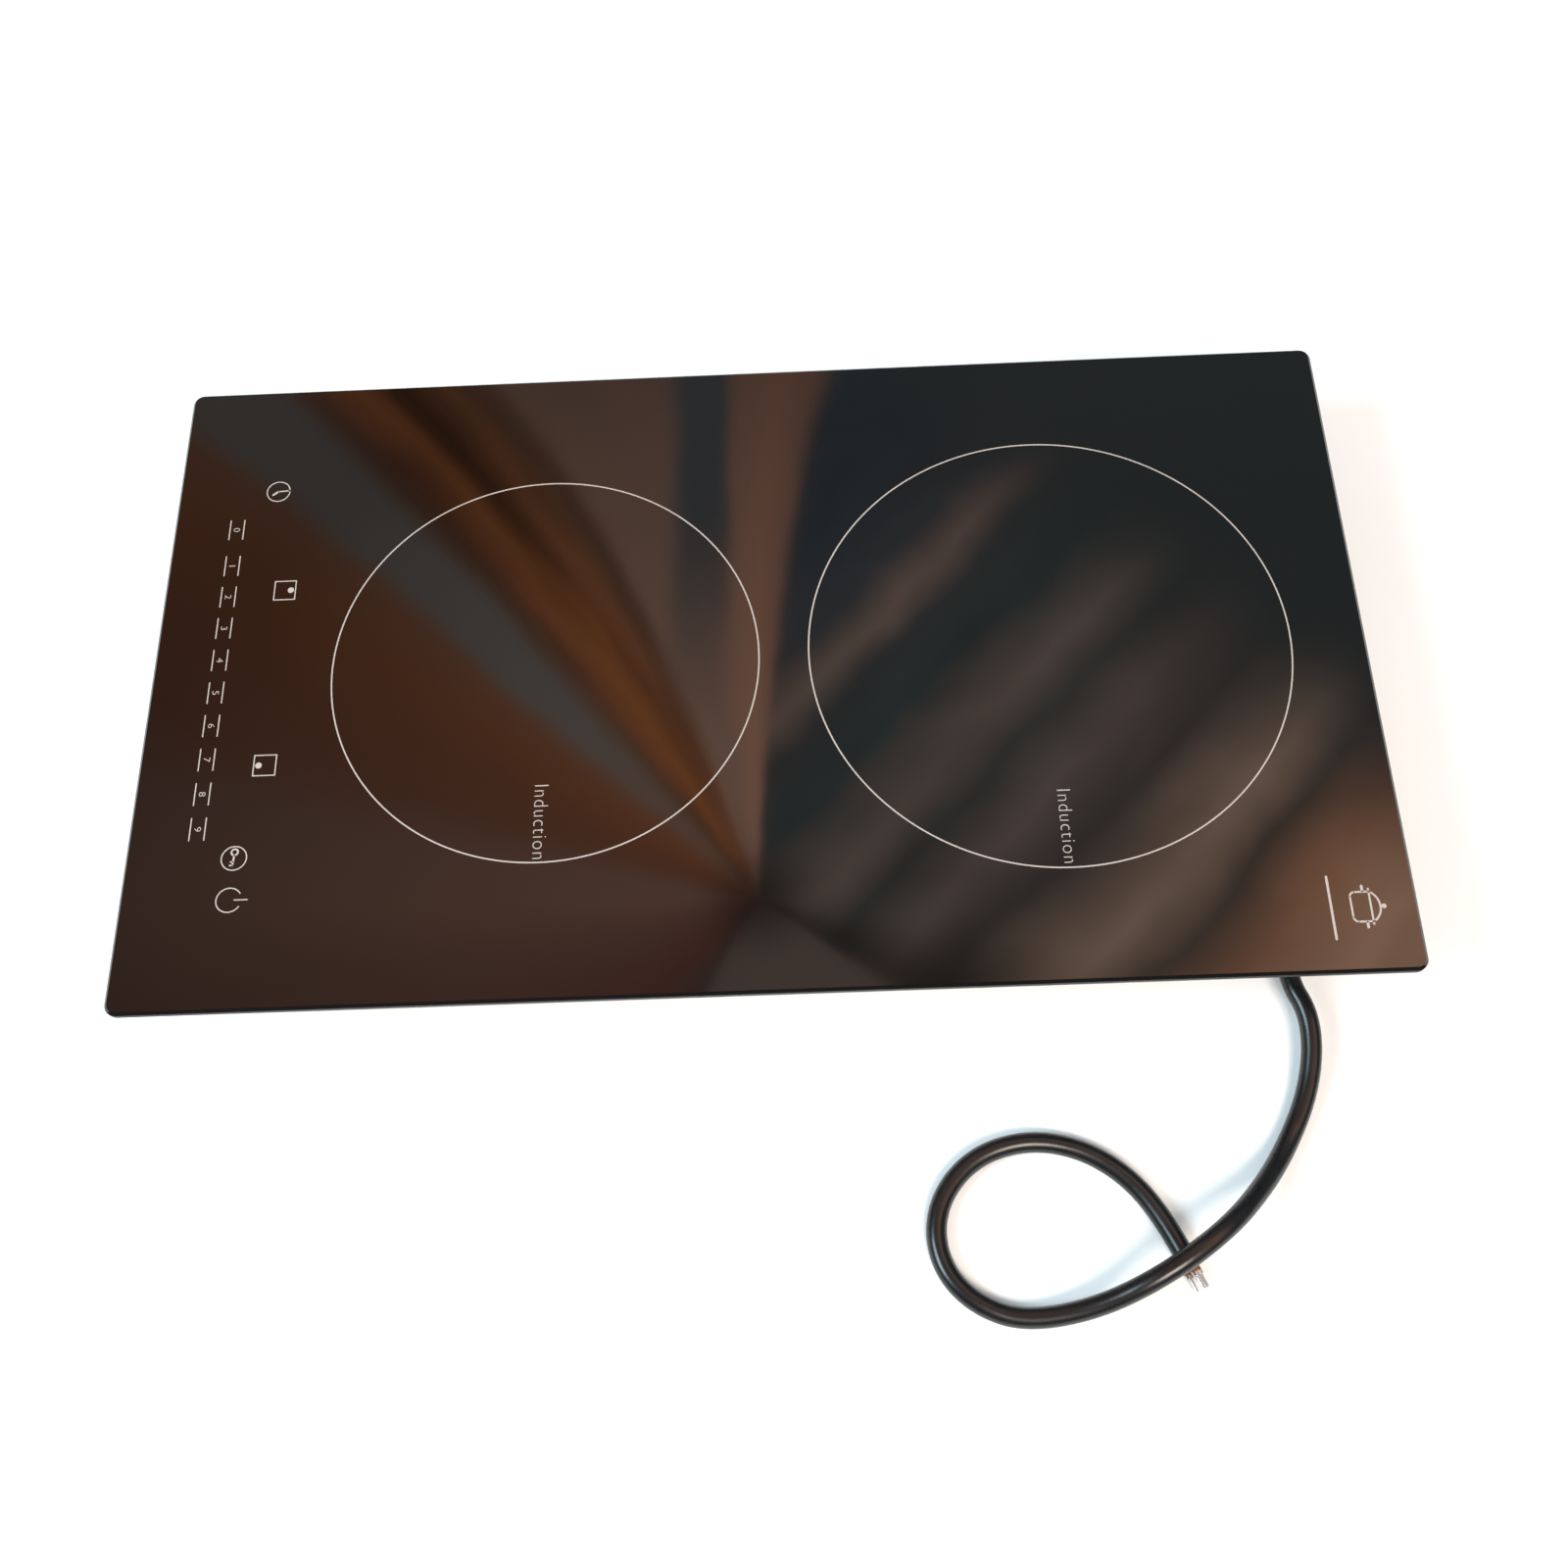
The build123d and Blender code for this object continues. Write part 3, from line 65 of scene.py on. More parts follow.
def make_camera():
    """The studio camera, looking down on the cooktop from its right side."""
    data = bpy.data.cameras.new("studio_camera")
    data.lens = LENS_MM
    data.sensor_width = SENSOR_MM
    data.clip_start = 0.01
    camera = bpy.data.objects.new("studio_camera", data)
    bpy.context.scene.collection.objects.link(camera)
    heading = Vector(LOOK_AT) - Vector(CAMERA_AT)
    camera.location = CAMERA_AT
    camera.rotation_mode = "QUATERNION"
    camera.rotation_quaternion = heading.to_track_quat("-Z", "Y") @ Quaternion((0, 0, 1), CAMERA_ROLL)
    bpy.context.scene.camera = camera


make_camera()


# ------------------------------------------------------------------ material helpers
def new_material(name):
    """New node material: returns it with its tree, its shader and the object coordinates."""
    material = bpy.data.materials.new(name)
    material.use_nodes = True
    tree = material.node_tree
    shader = tree.nodes["Principled BSDF"]
    place = tree.nodes.new("ShaderNodeTexCoord")
    return material, tree, shader, place.outputs["Object"]


def feed(tree, shader, name, value):
    """Lead a value or colour into one of the shader's sockets."""
    tree.links.new(value, shader.inputs[name])


def mapped(tree, source, scale):
    """Object coordinates stretched by scale on each axis."""
    mapping = tree.nodes.new("ShaderNodeMapping")
    mapping.inputs["Scale"].default_value = scale
    tree.links.new(source, mapping.inputs["Vector"])
    return mapping.outputs["Vector"]


def noise(tree, source, scale, detail=4.0, roughness=0.55):
    """Noise value from 0 to 1."""
    node = tree.nodes.new("ShaderNodeTexNoise")
    node.inputs["Scale"].default_value = scale
    node.inputs["Detail"].default_value = detail
    node.inputs["Roughness"].default_value = roughness
    tree.links.new(source, node.inputs["Vector"])
    return node.outputs["Fac"]


def cells(tree, source, scale, feature="F1", output="Distance"):
    """Voronoi distance or cell colour."""
    node = tree.nodes.new("ShaderNodeTexVoronoi")
    node.feature = feature
    node.inputs["Scale"].default_value = scale
    tree.links.new(source, node.inputs["Vector"])
    return node.outputs[output]


def ramp(tree, factor, stops):
    """Colour ramp: stops are (position, colour)."""
    node = tree.nodes.new("ShaderNodeValToRGB")
    elements = node.color_ramp.elements
    while len(elements) < len(stops):
        elements.new(0.5)
    for element, (position, colour) in zip(elements, stops):
        element.position = position
        element.color = (*colour[:3], 1.0)
    tree.links.new(factor, node.inputs["Fac"])
    return node.outputs["Color"]


def ranged(tree, value, low, high):
    """Map 0..1 to low..high."""
    node = tree.nodes.new("ShaderNodeMapRange")
    node.inputs["To Min"].default_value = low
    node.inputs["To Max"].default_value = high
    tree.links.new(value, node.inputs["Value"])
    return node.outputs["Result"]


BUMP_DEPTH = 0.0002


def bumped(tree, shader, height, strength, distance=BUMP_DEPTH):
    """Bump from a height value."""
    node = tree.nodes.new("ShaderNodeBump")
    node.inputs["Strength"].default_value = strength
    node.inputs["Distance"].default_value = distance
    tree.links.new(height, node.inputs["Height"])
    tree.links.new(node.outputs["Normal"], shader.inputs["Normal"])


def shade(colour, factor):
    """A lighter or darker version of a colour."""
    return tuple(min(1.0, c * factor) for c in colour[:3])


GLOSS_FINENESS, GLOSS_SPREAD = 2.3, 0.15
BUMP_FINENESS = 8.0


def plain(name, colour, roughness, metallic=0.0, grain=120.0, spread=0.12, bump=0.15,
          stretch=(1, 1, 1), coat=0.0):
    """Moulded plastic, rubber or sheet metal: fine tone and gloss variation with a fine bump."""
    material, tree, shader, source = new_material(name)
    stretched = mapped(tree, source, stretch)
    tone = noise(tree, stretched, grain, 6.0)
    stops = [(0.3, shade(colour, 1 - spread)), (0.7, shade(colour, 1 + spread))]
    feed(tree, shader, "Base Color", ramp(tree, tone, stops))
    gloss = noise(tree, stretched, grain * GLOSS_FINENESS, 3.0)
    low, high = roughness * (1 - GLOSS_SPREAD), roughness * (1 + GLOSS_SPREAD)
    feed(tree, shader, "Roughness", ranged(tree, gloss, low, high))
    shader.inputs["Metallic"].default_value = metallic
    shader.inputs["Coat Weight"].default_value = coat
    bumped(tree, shader, noise(tree, stretched, grain * BUMP_FINENESS, 2.0), bump)
    return material


# ------------------------------------------------------------------ materials
GLASS_IOR = 1.54
GLASS_DARK, GLASS_PALE = (0.0026, 0.0018, 0.0015), (0.0040, 0.0027, 0.0022)
POLISH_LOW, POLISH_HIGH = 0.025, 0.055
EDGE_ROUGHNESS = 0.55
FACE_TILT_LOW, FACE_TILT_HIGH = 0.2, 0.6
RIPPLE_DEPTH = 0.0006


def glass_ceramic():
    """Near-black glass-ceramic: mirror-smooth face, faint wipe marks, rough ground edge."""
    material, tree, shader, source = new_material("glass_ceramic")
    geometry = tree.nodes.new("ShaderNodeNewGeometry")
    split = tree.nodes.new("ShaderNodeSeparateXYZ")
    tree.links.new(geometry.outputs["Normal"], split.inputs["Vector"])
    face_up = tree.nodes.new("ShaderNodeMapRange")
    face_up.inputs["From Min"].default_value = FACE_TILT_LOW
    face_up.inputs["From Max"].default_value = FACE_TILT_HIGH
    tree.links.new(split.outputs["Z"], face_up.inputs["Value"])
    tone = noise(tree, mapped(tree, source, (3.0, 1.4, 1.0)), 2.2, 3.0)
    feed(tree, shader, "Base Color", ramp(tree, tone, [(0.3, GLASS_DARK), (0.72, GLASS_PALE)]))
    wipes = noise(tree, mapped(tree, source, (1.0, 5.0, 1.0)), 9.0, 5.0)
    polish = ranged(tree, wipes, POLISH_LOW, POLISH_HIGH)
    finish = tree.nodes.new("ShaderNodeMix")
    finish.inputs["A"].default_value = EDGE_ROUGHNESS
    tree.links.new(face_up.outputs["Result"], finish.inputs["Factor"])
    tree.links.new(polish, finish.inputs["B"])
    feed(tree, shader, "Roughness", finish.outputs["Result"])
    shader.inputs["IOR"].default_value = GLASS_IOR
    bumped(tree, shader, noise(tree, source, 26.0, 2.0), 0.02, RIPPLE_DEPTH)
    return material


def print_enamel():
    """Fired pale enamel of the printed marks."""
    return plain("print_enamel", (0.42, 0.36, 0.33), 0.5, grain=900.0, spread=0.06, bump=0.05)


def cord_rubber():
    """Smooth black rubber sheath: tight gloss broken by fine scuffs."""
    material, tree, shader, source = new_material("cord_rubber")
    tone = noise(tree, source, 160.0, 5.0)
    stops = [(0.3, (0.0025, 0.003, 0.0035)), (0.75, (0.006, 0.006, 0.007))]
    feed(tree, shader, "Base Color", ramp(tree, tone, stops))
    scuffs = noise(tree, source, 70.0, 6.0, 0.7)
    feed(tree, shader, "Roughness", ranged(tree, scuffs, 0.2, 0.36))
    bumped(tree, shader, noise(tree, source, 420.0, 3.0), 0.15)
    return material


def galvanised():
    """Zinc-coated steel sheet with its faint spangle."""
    material, tree, shader, source = new_material("galvanised_sheet")
    spangle = cells(tree, source, 320.0, output="Color")
    stops = [(0.2, (0.50, 0.52, 0.54)), (0.8, (0.60, 0.62, 0.64))]
    feed(tree, shader, "Base Color", ramp(tree, spangle, stops))
    feed(tree, shader, "Roughness", ranged(tree, noise(tree, source, 60.0), 0.36, 0.48))
    shader.inputs["Metallic"].default_value = 0.9
    bumped(tree, shader, noise(tree, source, 500.0, 2.0), 0.1)
    return material


PORE_DEPTH = 0.0003


def foam():
    """Closed-cell foam of the seal, with painted shade darkening the pits of its pores."""
    material, tree, shader, source = new_material("seal_foam")
    pores = cells(tree, source, 900.0)
    # The pore pits that the bump sinks are painted darker than the cell walls: painted shade in the pores.
    stops = [(0.1, (0.012, 0.012, 0.012)), (0.7, (0.04, 0.04, 0.04))]
    feed(tree, shader, "Base Color", ramp(tree, pores, stops))
    shader.inputs["Roughness"].default_value = 0.9
    bumped(tree, shader, pores, 0.5, PORE_DEPTH)
    return material


STRAND_DEPTH = 0.0004


def litz(name, centre_y):
    """Enamelled litz wire: rings about the coil's own axis with a fine twist, with painted shade dark in
    the grooves between turns.
    """
    material, tree, shader, source = new_material(name)
    shift = tree.nodes.new("ShaderNodeMapping")
    shift.inputs["Location"].default_value = (0, -centre_y, 0)
    tree.links.new(source, shift.inputs["Vector"])
    rings = tree.nodes.new("ShaderNodeTexWave")
    rings.wave_type = "RINGS"
    rings.rings_direction = "Z"
    rings.inputs["Scale"].default_value = 240.0
    rings.inputs["Distortion"].default_value = 1.5
    tree.links.new(shift.outputs["Vector"], rings.inputs["Vector"])
    # Rings run from copper on each turn's crest to dark brown in the grooves that the bump sinks: the dark
    # brown is painted shade between the turns.
    stops = [(0.2, (0.30, 0.10, 0.035)), (0.9, (0.72, 0.30, 0.12))]
    feed(tree, shader, "Base Color", ramp(tree, rings.outputs["Fac"], stops))
    shader.inputs["Metallic"].default_value = 0.85
    feed(tree, shader, "Roughness", ranged(tree, noise(tree, source, 700.0), 0.28, 0.5))
    bumped(tree, shader, rings.outputs["Fac"], 0.6, STRAND_DEPTH)
    return material


SOLDER = (0.42, 0.43, 0.42)
MASK_BARE, MASK_OVER_COPPER = (0.008, 0.055, 0.024), (0.012, 0.085, 0.035)


def circuit_board():
    """Green solder mask over paler copper areas, with scattered solder points."""
    material, tree, shader, source = new_material("circuit_board")
    points = cells(tree, source, 150.0)
    stops = [(0.14, SOLDER), (0.18, MASK_BARE), (0.30, MASK_BARE), (0.34, MASK_OVER_COPPER)]
    feed(tree, shader, "Base Color", ramp(tree, points, stops))
    feed(tree, shader, "Roughness", ranged(tree, noise(tree, source, 300.0), 0.28, 0.42))
    bumped(tree, shader, noise(tree, source, 500.0, 2.0), 0.1)
    return material


def mica():
    """Pressed mica sheet with flakes."""
    material, tree, shader, source = new_material("mica_sheet")
    flakes = cells(tree, source, 320.0, output="Color")
    stops = [(0.2, (0.48, 0.42, 0.30)), (0.8, (0.72, 0.66, 0.52))]
    feed(tree, shader, "Base Color", ramp(tree, flakes, stops))
    feed(tree, shader, "Roughness", ranged(tree, noise(tree, source, 200.0), 0.3, 0.6))
    bumped(tree, shader, noise(tree, source, 600.0), 0.2)
    return material


def wound_copper():
    """Copper turns of the choke."""
    return plain("wound_copper", (0.70, 0.30, 0.12), 0.3, 0.9, 400.0, 0.25, 0.4, (1, 1, 6))


MATERIALS = {
    "glass_black": glass_ceramic(),
    "seal_foam": foam(),
    "silicone_black": plain("silicone_black", (0.015, 0.015, 0.015), 0.35, bump=0.2),
    "galvanised_sheet": galvanised(),
    "frame_steel": plain("frame_steel", (0.50, 0.51, 0.52), 0.35, 0.95, 60.0, 0.08, 0.2, (1, 14, 14)),
    "screw_steel": plain("screw_steel", (0.66, 0.66, 0.64), 0.28, 1.0, 500.0, 0.1, 0.2),
    "clamp_steel": plain("clamp_steel", (0.62, 0.60, 0.52), 0.32, 0.95, 260.0, 0.12, 0.2, (5, 1, 1)),
    "blank_plate": plain("blank_plate", (0.78, 0.78, 0.79), 0.35, 0.9, 90.0, 0.05, 0.1, (1, 12, 1)),
    "gland_nylon": plain("gland_nylon", (0.016, 0.016, 0.018), 0.5, grain=300.0, bump=0.3),
    "cord_rubber": cord_rubber(),
    "core_insulation": plain("core_insulation", (0.20, 0.09, 0.04), 0.3, grain=300.0),
    "ferrule_tin": plain("ferrule_tin", (0.72, 0.72, 0.72), 0.25, 1.0, 600.0, 0.1),
    "terminal_plastic": plain("terminal_plastic", (0.74, 0.73, 0.68), 0.45, grain=200.0, spread=0.04),
    "brass_screws": plain("brass_screws", (0.76, 0.56, 0.24), 0.3, 1.0, 400.0, 0.1),
    "tray_aluminium": plain("tray_aluminium", (0.76, 0.77, 0.78), 0.36, 0.95, 50.0, 0.05, 0.15, (1, 18, 1)),
    "sink_aluminium": plain("sink_aluminium", (0.70, 0.71, 0.73), 0.4, 0.95, 80.0, 0.06, 0.25, (12, 1, 12)),
    "carrier_plastic": plain("carrier_plastic", (0.66, 0.62, 0.50), 0.55, grain=240.0, spread=0.06),
    "copper_winding": wound_copper(),
    "ferrite_grey": plain("ferrite_grey", (0.06, 0.06, 0.065), 0.6, 0.2, 500.0, 0.25, 0.4),
    "mica_sheet": mica(),
    "sensor_ceramic": plain("sensor_ceramic", (0.80, 0.79, 0.74), 0.5, grain=300.0, spread=0.04),
    "spring_steel": plain("spring_steel", (0.58, 0.58, 0.60), 0.25, 1.0, 400.0),
    "board_green": circuit_board(),
    "device_black": plain("device_black", (0.016, 0.016, 0.018), 0.55, grain=500.0, bump=0.3),
    "film_capacitor": plain("film_capacitor", (0.05, 0.11, 0.32), 0.32, grain=200.0, coat=0.2),
    "electrolytic_sleeve": plain("electrolytic_sleeve", (0.02, 0.02, 0.04), 0.25, grain=200.0,
                                 coat=0.3),
    "transformer_yellow": plain("transformer_yellow", (0.62, 0.46, 0.06), 0.35, grain=160.0, spread=0.08),
    "connector_white": plain("connector_white", (0.78, 0.77, 0.73), 0.4, grain=200.0, spread=0.04),
    "fan_black": plain("fan_black", (0.018, 0.018, 0.02), 0.42, grain=260.0, bump=0.25),
    "motor_steel": plain("motor_steel", (0.3, 0.3, 0.32), 0.38, 0.9, 200.0, 0.15),
    "duct_grey": plain("duct_grey", (0.17, 0.18, 0.19), 0.5, grain=240.0, bump=0.25),
    "bracket_white": plain("bracket_white", (0.74, 0.74, 0.74), 0.5, grain=200.0, spread=0.04),
    "display_black": plain("display_black", (0.02, 0.008, 0.008), 0.12, grain=80.0, bump=0.02, coat=0.3),
    "lead_insulation": plain("lead_insulation", (0.68, 0.66, 0.60), 0.5, grain=400.0, bump=0.4),
    "ribbon_grey": plain("ribbon_grey", (0.5, 0.5, 0.52), 0.4, grain=200.0, stretch=(20, 1, 1)),
}
PRINT = print_enamel()


def dress(obj, material):
    """Give an object one material."""
    obj.data.materials.clear()
    obj.data.materials.append(material)


def dress_cad_nodes():
    """Each CAD node takes the material of its record slot; each winding has rings about its own axis."""
    for entry in frame["record"]["subparts"]:
        dress(frame["nodes"][entry["node"]], MATERIALS[entry["material_slot"]])
    for zone in ("front", "rear"):
        node = f"coil_winding_{zone}"
        low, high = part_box(node)
        dress(frame["nodes"][node], litz(f"litz_{zone}", (low.y + high.y) / 2))


dress_cad_nodes()


# ------------------------------------------------------------------ mains cord
CORD_DIAMETER = 0.0084
CORD_SMOOTHNESS = 10
# Control points of the cord's smooth line, from the gland's tip to the stripped end.
CORD_POINTS = [
    (0.126, 0.218, 0.012),
    (0.139, 0.218, 0.012),
    (0.152, 0.2238, 0.012),
    (0.168, 0.224, 0.01),
    (0.186, 0.2195, 0.0062),
    (0.204, 0.21, 0.0045),
    (0.221, 0.197, 0.0105),
    (0.239, 0.178, 0.0225),
    (0.2555, 0.1525, 0.0225),
    (0.2665, 0.126, 0.01),
    (0.27, 0.098, 0.0042),
    (0.2635, 0.08, 0.0042),
    (0.251, 0.068, 0.0042),
    (0.234, 0.0645, 0.0042),
    (0.2175, 0.0705, 0.0042),
    (0.2045, 0.085, 0.0042),
    (0.1995, 0.106, 0.0042),
    (0.204, 0.127, 0.0042),
    (0.216, 0.1445, 0.0042),
    (0.233, 0.1565, 0.0042),
    (0.248, 0.163, 0.0042),
]


def make_cord():
    """The free mains cord as one NURBS line with a round section."""
    curve = bpy.data.curves.new("mains_cord_line", "CURVE")
    curve.dimensions = "3D"
    spline = curve.splines.new("NURBS")
    spline.points.add(len(CORD_POINTS) - 1)
    for point, place in zip(spline.points, CORD_POINTS):
        point.co = (*place, 1.0)
    spline.order_u = 3
    spline.use_endpoint_u = True
    spline.resolution_u = CORD_SMOOTHNESS
    curve.bevel_depth = CORD_DIAMETER / 2
    curve.bevel_resolution = CORD_SMOOTHNESS
    curve.use_fill_caps = True
    cord = bpy.data.objects.new("mains_cord_rubber", curve)
    bpy.context.scene.collection.objects.link(cord)
    dress(cord, MATERIALS["cord_rubber"])
    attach(cord, BODY)
    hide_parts("mains_cord")


make_cord()


# ------------------------------------------------------------------ printed marks
PRINT_TOP = GLASS_TOP + 0.03 * MM
PRINT_SUNK = GLASS_TOP - 0.02 * MM


def add_prism(mesh, outline):
    """Closed thin prism on the glass from a flat outline, points in mm, anticlockwise."""
    top = [mesh.verts.new((x * MM, y * MM, PRINT_TOP)) for x, y in outline]
    low = [mesh.verts.new((x * MM, y * MM, PRINT_SUNK)) for x, y in outline]
    mesh.faces.new(top)
    mesh.faces.new(list(reversed(low)))
    for i in range(len(outline)):
        j = (i + 1) % len(outline)
        mesh.faces.new((low[i], low[j], top[j], top[i]))


def add_band(mesh, left, right, closed):
    """Closed thin band between two edge lines of equal length, points in mm."""
    rows = []
    for (lx, ly), (rx, ry) in zip(left, right):
        corners = ((lx, ly, PRINT_TOP), (rx, ry, PRINT_TOP), (rx, ry, PRINT_SUNK), (lx, ly, PRINT_SUNK))
        rows.append([mesh.verts.new((x * MM, y * MM, z)) for x, y, z in corners])
    count = len(rows)
    for i in range(count if closed else count - 1):
        here, there = rows[i], rows[(i + 1) % count]
        for k in range(4):
            m = (k + 1) % 4
            mesh.faces.new((here[k], there[k], there[m], here[m]))
    if not closed:
        mesh.faces.new(rows[0])
        mesh.faces.new(list(reversed(rows[-1])))


def arc(centre, radius, start, end, steps):
    """Points of an arc in mm, angles in degrees."""
    angles = [math.radians(start + (end - start) * i / steps) for i in range(steps + 1)]
    return [(centre[0] + radius * math.cos(a), centre[1] + radius * math.sin(a)) for a in angles]


def add_arc(mesh, centre, radius, width, start=0.0, end=360.0, steps=48):
    """Stroke along an arc or a whole circle."""
    closed = abs(end - start) >= 360.0
    inner = arc(centre, radius - width / 2, start, end, steps)
    outer = arc(centre, radius + width / 2, start, end, steps)
    if closed:
        inner, outer = inner[:-1], outer[:-1]
    add_band(mesh, inner, outer, closed)


def add_disc(mesh, centre, radius, steps=32):
    """Filled dot."""
    add_prism(mesh, arc(centre, radius, 0, 360, steps)[:-1])


def add_bar(mesh, start, end, width):
    """Stroke from start to end with round ends."""
    heading = math.degrees(math.atan2(end[1] - start[1], end[0] - start[0]))
    half = width / 2
    nose = arc(end, half, heading - 90, heading + 90, 6)
    tail = arc(start, half, heading + 90, heading + 270, 6)
    add_prism(mesh, nose + tail)


def add_box_outline(mesh, centre, size_x, size_y, width):
    """Square-cornered outline of a box."""
    x, y = centre
    edges = []
    for reach in (-width / 2, width / 2):
        dx, dy = size_x / 2 + reach, size_y / 2 + reach
        edges.append([(x - dx, y - dy), (x + dx, y - dy), (x + dx, y + dy), (x - dx, y + dy)])
    add_band(mesh, *edges, closed=True)


def make_print(name, draw):
    """One printed piece on the glass, drawn by a function that fills a mesh."""
    mesh = bmesh.new()
    draw(mesh)
    bmesh.ops.recalc_face_normals(mesh, faces=mesh.faces)
    data = bpy.data.meshes.new(name)
    mesh.to_mesh(data)
    mesh.free()
    piece = bpy.data.objects.new(name, data)
    bpy.context.scene.collection.objects.link(piece)
    dress(piece, PRINT)
    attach(piece, BODY)


def add_text(mesh, words, height, centre, spacing=1.0, width=None, stretch=1.0, weight=0.0):
    """Words in plain sans letters, height in mm, centred; width squeezes them to a set length."""
    curve = bpy.data.curves.new("words", "FONT")
    curve.body = words
    curve.align_x = "CENTER"
    curve.space_character = spacing
    curve.offset = weight
    curve.extrude = 0.5
    curve.resolution_u = 4
    text = bpy.data.objects.new("words", curve)
    bpy.context.scene.collection.objects.link(text)
    bpy.context.view_layer.update()
    flat = bpy.data.meshes.new_from_object(text.evaluated_get(bpy.context.evaluated_depsgraph_get()))
    bpy.data.objects.remove(text)
    caps = max(v.co.y for v in flat.vertices)
    wide = [v.co.x for v in flat.vertices]
    tall = height / caps
    broad = tall * stretch if width is None else width / (max(wide) - min(wide))
    middle = (max(wide) + min(wide)) / 2
    thick = PRINT_TOP - PRINT_SUNK
    flat.transform(
        Matrix.Translation((centre[0] * MM, (centre[1] - height / 2) * MM, (PRINT_TOP + PRINT_SUNK) / 2))
        @ Matrix.Diagonal((broad * MM, tall * MM, thick, 1))
        @ Matrix.Translation((-middle, 0, 0))
    )
    mesh.from_mesh(flat)
    bpy.data.meshes.remove(flat)


# Places and sizes of the marks in mm, X and Y on the glass.
LINE = 0.5
RING_LINE = 0.62
ZONES = (((0.0, -89.8), 91.9), ((0.0, 125.8), 102.4))
WORDS = (((73.9, -89.25), 5.9, 32.8), ((84.35, 125.45), 5.5, 32.1))
WORD_SPACING, WORD_WEIGHT = 1.12, -0.018
ZERO_X = -74.0
ONE_X = -55.1
DIGIT_PITCH = 15.85
DIGIT_Y = -231.3
DIGIT_HEIGHT, DIGIT_WIDTH, DIGIT_WEIGHT = 2.8, 1.2, -0.012
LEVEL_BAR_HALF, LEVEL_BAR_GAP = 5.0, 3.1
KEY_R = 5.2
TIMER_AT = (-93.7, -214.4)
ZONE_KEYS = (((-41.4, -206.3), 1), ((43.6, -206.4), -1))
ZONE_KEY_SIZE = (9.4, 9.3)
ZONE_DOT_R, ZONE_DOT_SHIFT = 1.4, 2.6
LOCK_AT = (85.2, -214.7)
POWER_AT = (103.4, -214.8)
POWER_GAP = 31.0
PAN_AT = (123.4, 240.0)
PAN_LINE = 0.8
PAN_HALF, PAN_RIM, PAN_FLOOR, PAN_CORNER = 6.2, 1.2, -6.4, 2.0
RULE_Y, RULE_HALF = 225.6, 13.0


def draw_zones(mesh):
    """The ring of each cooking zone."""
    for centre, radius in ZONES:
        add_arc(mesh, centre, radius, RING_LINE, steps=240)


def draw_zone_words(mesh):
    """The generic word beside the right side of each ring."""
    for centre, height, width in WORDS:
        add_text(mesh, "Induction", height, centre, WORD_SPACING, width, weight=WORD_WEIGHT)


def draw_power_scale(mesh):
    """Power levels 0 to 9, each between two short bars."""
    for digit in range(10):
        x = ONE_X + (digit - 1) * DIGIT_PITCH if digit else ZERO_X
        add_text(mesh, str(digit), DIGIT_HEIGHT, (x, DIGIT_Y), stretch=DIGIT_WIDTH, weight=DIGIT_WEIGHT)
        for side in (-1, 1):
            y = DIGIT_Y + side * LEVEL_BAR_GAP
            add_bar(mesh, (x - LEVEL_BAR_HALF, y), (x + LEVEL_BAR_HALF, y), LINE)


def draw_timer(mesh):
    """Clock face with a long hand up to a dot and a short thick hand."""
    x, y = TIMER_AT
    add_arc(mesh, TIMER_AT, KEY_R, LINE)
    add_bar(mesh, TIMER_AT, (x - 0.3, y + KEY_R), 0.62)
    add_disc(mesh, (x - 0.3, y + KEY_R - 0.3), 0.65)
    add_bar(mesh, TIMER_AT, (x + 1.7, y - 2.3), 0.95)


def draw_zone_keys(mesh):
    """Zone-select squares, each with a dot towards its own zone."""
    for centre, dot_side in ZONE_KEYS:
        add_box_outline(mesh, centre, *ZONE_KEY_SIZE, LINE)
        add_disc(mesh, (centre[0], centre[1] + dot_side * ZONE_DOT_SHIFT), ZONE_DOT_R)


def draw_lock(mesh):
    """Key in a circle: its bow, its shank and two teeth."""
    x, y = LOCK_AT
    add_arc(mesh, LOCK_AT, KEY_R, LINE)
    add_arc(mesh, (x - 2.7, y + 0.05), 1.35, 0.75, steps=24)
    add_bar(mesh, (x - 1.3, y), (x + 3.2, y - 0.3), 0.75)
    add_bar(mesh, (x + 3.1, y - 0.3), (x + 3.1, y - 1.4), 0.7)
    add_bar(mesh, (x + 1.6, y - 0.2), (x + 1.6, y - 1.2), 0.6)


def draw_power(mesh):
    """Open circle with a stroke through the gap towards the rear."""
    x, y = POWER_AT
    add_arc(mesh, POWER_AT, KEY_R, LINE, 90 + POWER_GAP, 450 - POWER_GAP)
    add_bar(mesh, (x, y + 2.3), (x, y + 7.6), LINE)


def draw_maker_mark(mesh):
    """Generic mark: a covered pan in outline, with its knob and handles, over a plain line."""
    x, y = PAN_AT
    bend_x, bend_y = PAN_HALF - PAN_CORNER, PAN_FLOOR + PAN_CORNER
    for side, turn in ((-1, 180), (1, 270)):
        wall = x + side * PAN_HALF
        add_bar(mesh, (wall, y + PAN_RIM), (wall, y + bend_y), PAN_LINE)
        add_arc(mesh, (x + side * bend_x, y + bend_y), PAN_CORNER, PAN_LINE, turn, turn + 90, 8)
        add_bar(mesh, (x + side * 6.6, y - 1.2), (x + side * 8.6, y - 1.2), 1.1)
    add_bar(mesh, (x - bend_x, y + PAN_FLOOR), (x + bend_x, y + PAN_FLOOR), PAN_LINE)
    add_bar(mesh, (x - 7.4, y + PAN_RIM), (x + 7.4, y + PAN_RIM), PAN_LINE)
    add_arc(mesh, (x, y - 2.4), 7.3, PAN_LINE, 36, 144, 20)
    add_disc(mesh, (x, y + 6.3), 1.0, 20)
    add_bar(mesh, (x - RULE_HALF, RULE_Y), (x + RULE_HALF, RULE_Y), 1.0)


